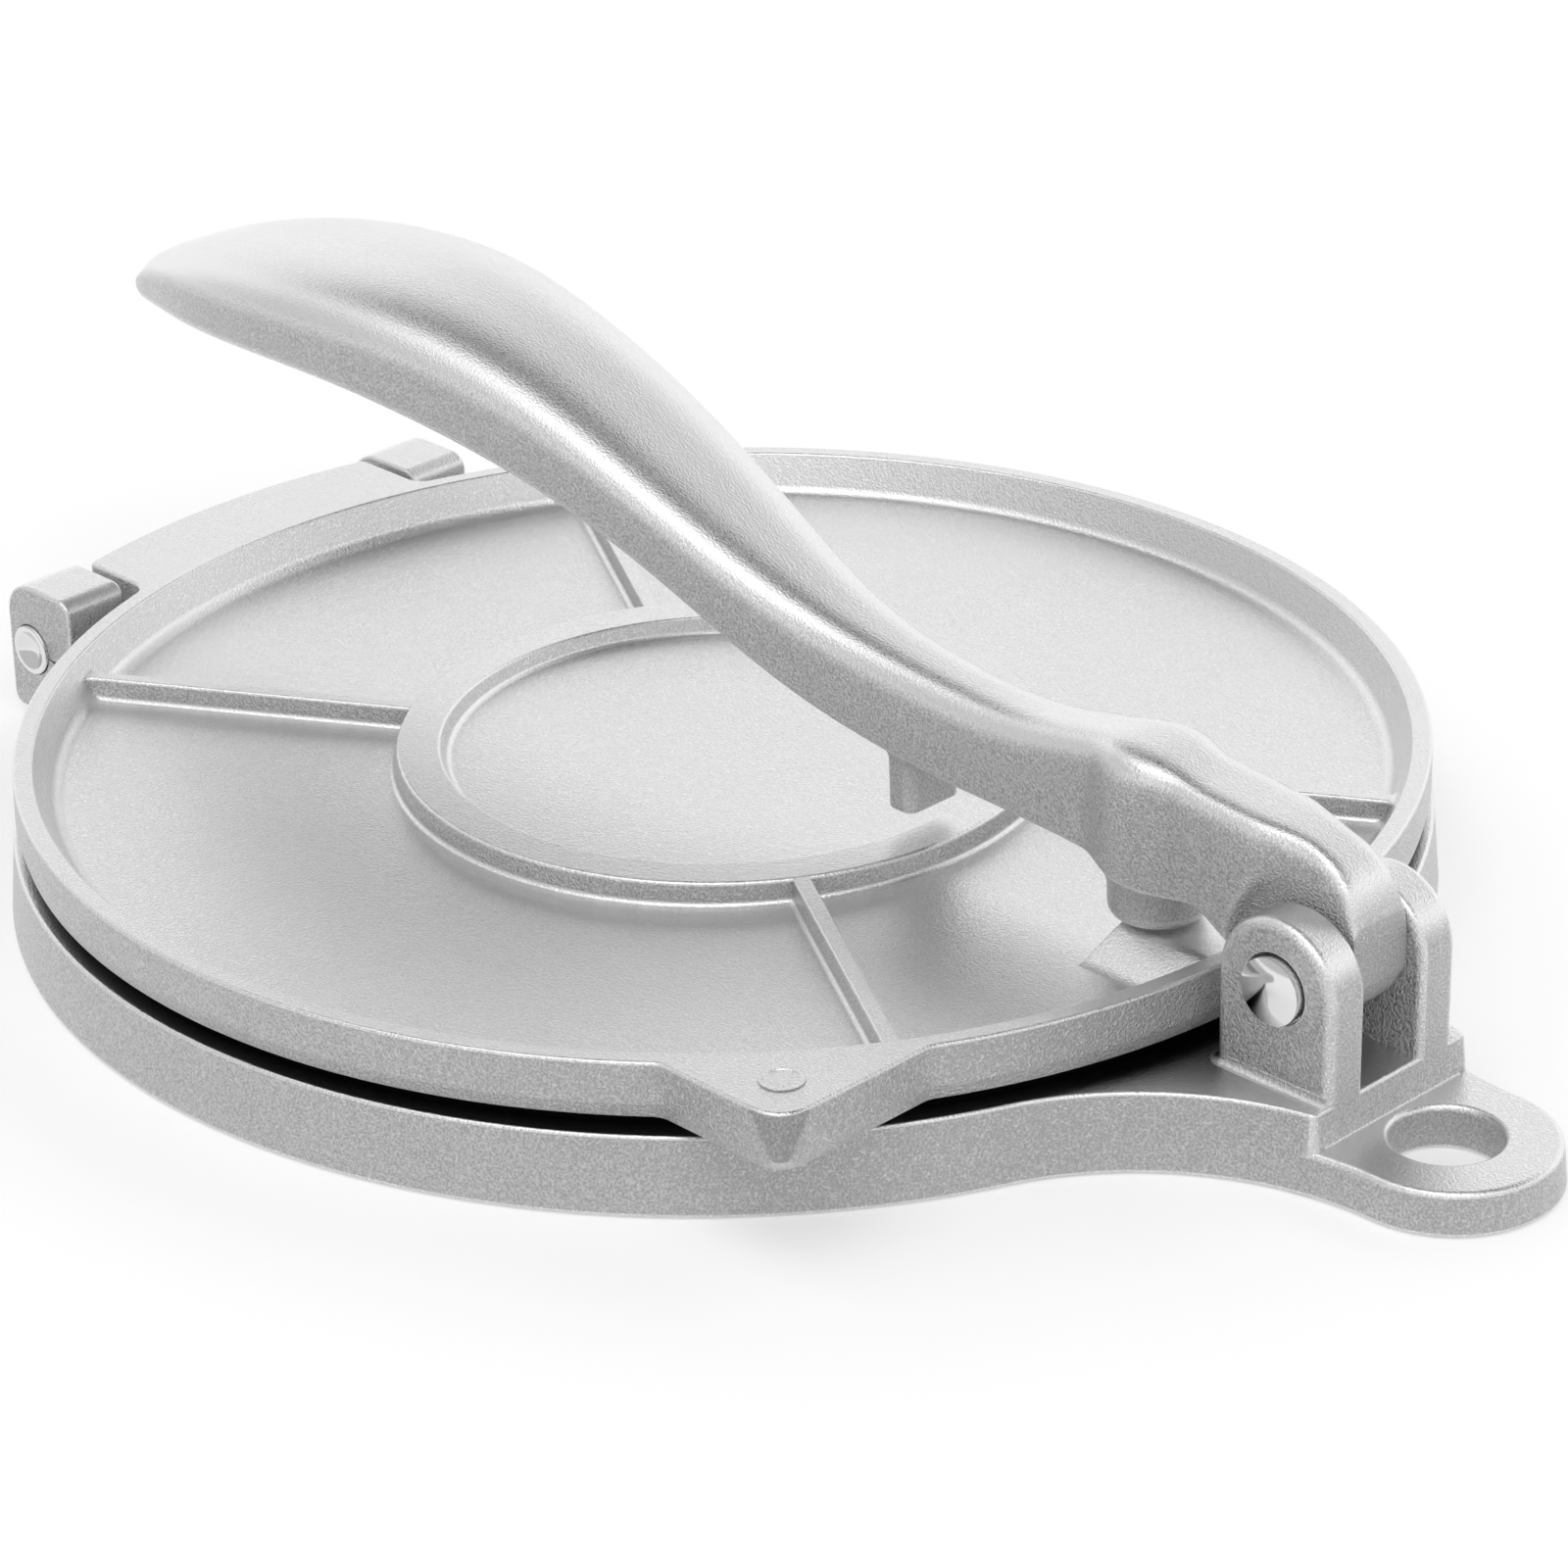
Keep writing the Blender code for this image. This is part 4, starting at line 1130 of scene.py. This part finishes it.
    def nub(self, casting: Casting) -> None:
        """Add the small block under the arm: rows of a rounded rectangle, a little wider at the top."""
        corner, turn = 1.7, math.pi
        x0, x1, y = 37.0 + corner, 42.0 - corner, 5.0 - corner
        pen = Pen().arc((x0, -y), corner, -turn, -turn / 2, 7)
        pen.line((x0, -y - corner), (x1, -y - corner), 4)
        pen.arc((x1, -y), corner, -turn / 2, 0, 7)
        pen.line((x1 + corner, -y), (x1 + corner, y), 6)
        pen.arc((x1, y), corner, 0, turn / 2, 7)
        pen.line((x1, y + corner), (x0, y + corner), 4)
        pen.arc((x0, y), corner, turn / 2, turn, 7)
        pen.line((x0 - corner, y), (x0 - corner, -y), 6)
        outline = pen.outline()
        side = soften([(-0.9, 22.5), (0, 22.5, 0.6), (0.15, 30.2, 2.0), (1.0, 32.2), (1.0, 36.0)])
        casting.add(np.array([outline.row(offset, height) for offset, height in side]), End.FACE, End.FACE)

    def build(self, dress: bpy.types.Material) -> None:
        """Build the whole casting in that material."""
        casting = Casting("lever_casting")
        self.body(casting)
        self.presser(casting)
        self.nub(casting)
        casting.finish(dress, "lever", ["lever"])


@dataclass
class Pins:
    """The polished pin through fork and knuckle, and the two short pins of the plates' hinge."""

    lever_x: float = 113.0
    lever_z: float = 25.1
    head: float = 4.66
    face: float = 12.4
    hinge_x: float = -108.7
    hinge_z: float = 11.7
    hinge_radius: float = 3.85
    hinge_end: float = 40.2
    hinge_start: float = 24.6
    dome_rise: float = 0.9
    dimple_radius: float = 3.0
    dimple_depth: float = 1.5

    def lever_pin(self, dress: bpy.types.Material) -> None:
        """Build the lever pin: a turned rod with a low dome on both ends, as an arc of a large sphere."""
        edge, rise = self.face + 1.0, self.dome_rise
        ball = (self.head**2 + rise**2) / (2.0 * rise)
        radius = self.head * np.sin(np.linspace(0.02, 1.0, 20) * math.pi / 2)
        dome = np.column_stack([radius, edge + rise - ball + np.sqrt(ball**2 - radius**2)])
        side = np.vstack([dome, [[self.head, edge - 1.0]]])
        casting = Casting("lever_pin_turned")
        both = np.vstack([side, side[::-1] * [1.0, -1.0]])
        casting.turned(both, (self.lever_x, self.lever_z), Axis.ACROSS, 96)
        casting.finish(dress, "base", ["lever_pin"])

    def hinge_pin(self, dress: bpy.types.Material, name: str, side: float) -> None:
        """Build one hinge pin: a turned rod with a round dimple in its outer end.

        Args:
            dress: its material.
            name: the node that it stands for.
            side: -1 for the near pin, 1 for the far one.
        """
        end, radius = self.hinge_end, self.hinge_radius
        hollow = np.linspace(0.04, 1.0, 10)
        dimple = np.column_stack([self.dimple_radius * hollow, end - self.dimple_depth * (1.0 - hollow**2)])
        rod = soften([(3.2, end), (radius, end, 0.3), (radius, self.hinge_start, 0.4),
                      (0.6, self.hinge_start)])
        profile = np.vstack([dimple, rod])
        profile[:, 1] *= side
        casting = Casting(name + "_turned")
        casting.turned(profile, (self.hinge_x, self.hinge_z), Axis.ACROSS, 72)
        casting.finish(dress, "base", [name])

    def build(self, dress: bpy.types.Material) -> None:
        """Build all three pins in that material."""
        self.lever_pin(dress)
        self.hinge_pin(dress, "hinge_pin_near", -1.0)
        self.hinge_pin(dress, "hinge_pin_far", 1.0)


@dataclass
class Studio:
    """The pale floor, the soft light and the camera at the photograph's angle."""

    azimuth: float = 0.7967
    elevation: float = 0.4574
    roll: float = -0.0184
    distance: float = 758.27
    target: Tuple[float, float, float] = (18.50, -6.14, 20.0)
    lens: float = 125.28
    floor_level: float = 0.88
    floor_lift: float = 0.32
    tent: float = 0.99
    flag_depth: float = 0.80
    strip_gain: float = 0.5
    grey_depth: float = 0.38

    def camera(self) -> None:
        """Place the camera: it looks at the target from that azimuth and elevation, turned by the roll."""
        az, el = self.azimuth, self.elevation
        back = Vector((math.sin(az) * math.cos(el), -math.cos(az) * math.cos(el), math.sin(el)))
        right = Vector((0.0, 0.0, 1.0)).cross(back).normalized()
        up = back.cross(right)
        tilted = right * math.cos(self.roll) + up * math.sin(self.roll)
        upright = up * math.cos(self.roll) - right * math.sin(self.roll)
        place = (Vector(self.target) + back * self.distance) * MM + Vector((PLATES_X, 0.0, 0.0))
        turn = Matrix((tilted, upright, back)).transposed().to_4x4()
        data = bpy.data.cameras.new("photograph")
        data.lens, data.sensor_width, data.sensor_fit = self.lens, 36.0, "HORIZONTAL"
        data.clip_start, data.clip_end = 0.05, 20.0
        camera = bpy.data.objects.new("photograph", data)
        camera.matrix_world = Matrix.Translation(place) @ turn
        bpy.context.scene.collection.objects.link(camera)
        bpy.context.scene.camera = camera

    def floor(self) -> None:
        """Lay the pale floor: a matt white that seen rays, and reflections, find a little brighter."""
        half = 3.0
        mesh = bpy.data.meshes.new("floor")
        corners = [(-half, -half, 0), (half, -half, 0), (half, half, 0), (-half, half, 0)]
        mesh.from_pydata(corners, [], [(0, 1, 2, 3)])
        made = bpy.data.materials.new("floor")
        made.use_nodes = True
        tree = Tree(made.node_tree)
        pale = (self.floor_level, self.floor_level, self.floor_level, 1.0)
        path = tree.nodes.nodes.new("ShaderNodeLightPath").outputs
        seen = tree.maths("MAXIMUM", Wire(tree, path["Is Camera Ray"]), Wire(tree, path["Is Glossy Ray"]))
        seen = tree.maths("MAXIMUM", seen, Wire(tree, path["Is Transmission Ray"]))
        lift = tree.node("ShaderNodeEmission", {"Color": (1.0, 1.0, 1.0, 1.0),
                                                "Strength": seen * self.floor_lift})
        shade = tree.node("ShaderNodeBsdfDiffuse", {"Color": pale})
        shader = tree.node("ShaderNodeAddShader", {0: shade, 1: lift})
        tree.node("ShaderNodeOutputMaterial", {"Surface": shader})
        mesh.materials.append(made)
        floor = bpy.data.objects.new("floor", mesh)
        floor.location.z = -0.0002
        bpy.context.scene.collection.objects.link(floor)

    def world(self) -> None:
        """Light the room like a photographer's white tent.

        Formula: the light is white all round, with a dark flag overhead, a bright strip beside it on the
        left, and a greyer part on the left and in front. Each is a product of smooth ramps of the
        direction's share along a fixed line.
        """
        world = bpy.data.worlds.new("studio")
        bpy.context.scene.world = world
        world.use_nodes = True
        tree = Tree(world.node_tree)
        way = tree.node("ShaderNodeTexCoord", {}, "Generated")
        left, turn, up = (tree.node("ShaderNodeVectorMath", {0: way, 1: Vector(line)}, "Value",
                                    operation="DOT_PRODUCT")
                          for line in ((-0.699, -0.715, 0.0), (0.0113, -1.0, 0.0), (0.0, 0.0, 1.0)))
        flag = turn.ramp(-0.66, -0.54) * (1.0 - turn.ramp(-0.20, 0.05)) * up.ramp(0.50, 0.72)
        strip = (turn.ramp(0.0, 0.16) * (1.0 - turn.ramp(0.58, 0.72)) * up.ramp(0.50, 0.70)
                 * (1.0 - left.ramp(0.38, 0.54)))
        side = left.ramp(0.38, 0.56) * turn.ramp(-0.05, 0.15)
        front = turn.ramp(0.60, 0.75)
        level = (self.tent - flag * self.flag_depth + strip * self.strip_gain
                 - tree.maths("MAXIMUM", side, front) * self.grey_depth)
        shader = tree.node("ShaderNodeBackground", {"Color": tree.grey(level), "Strength": 1.0})
        tree.node("ShaderNodeOutputWorld", {"Surface": shader})

    def build(self) -> None:
        """Set the view's colours, then lay the floor, light it and place the camera."""
        bpy.context.scene.view_settings.view_transform = "Standard"
        self.floor()
        self.world()
        self.camera()


def main() -> None:
    """Build the press from its castings to its pins, then the studio."""
    logging.basicConfig(level=logging.INFO)
    cast, steel = CastAluminium().material(), PolishedSteel().material()
    Base().build(cast)
    UpperPlate().build(cast)
    Lever().build(cast)
    Pins().build(steel)
    Studio().build()


if __name__ == "__main__":
    main()
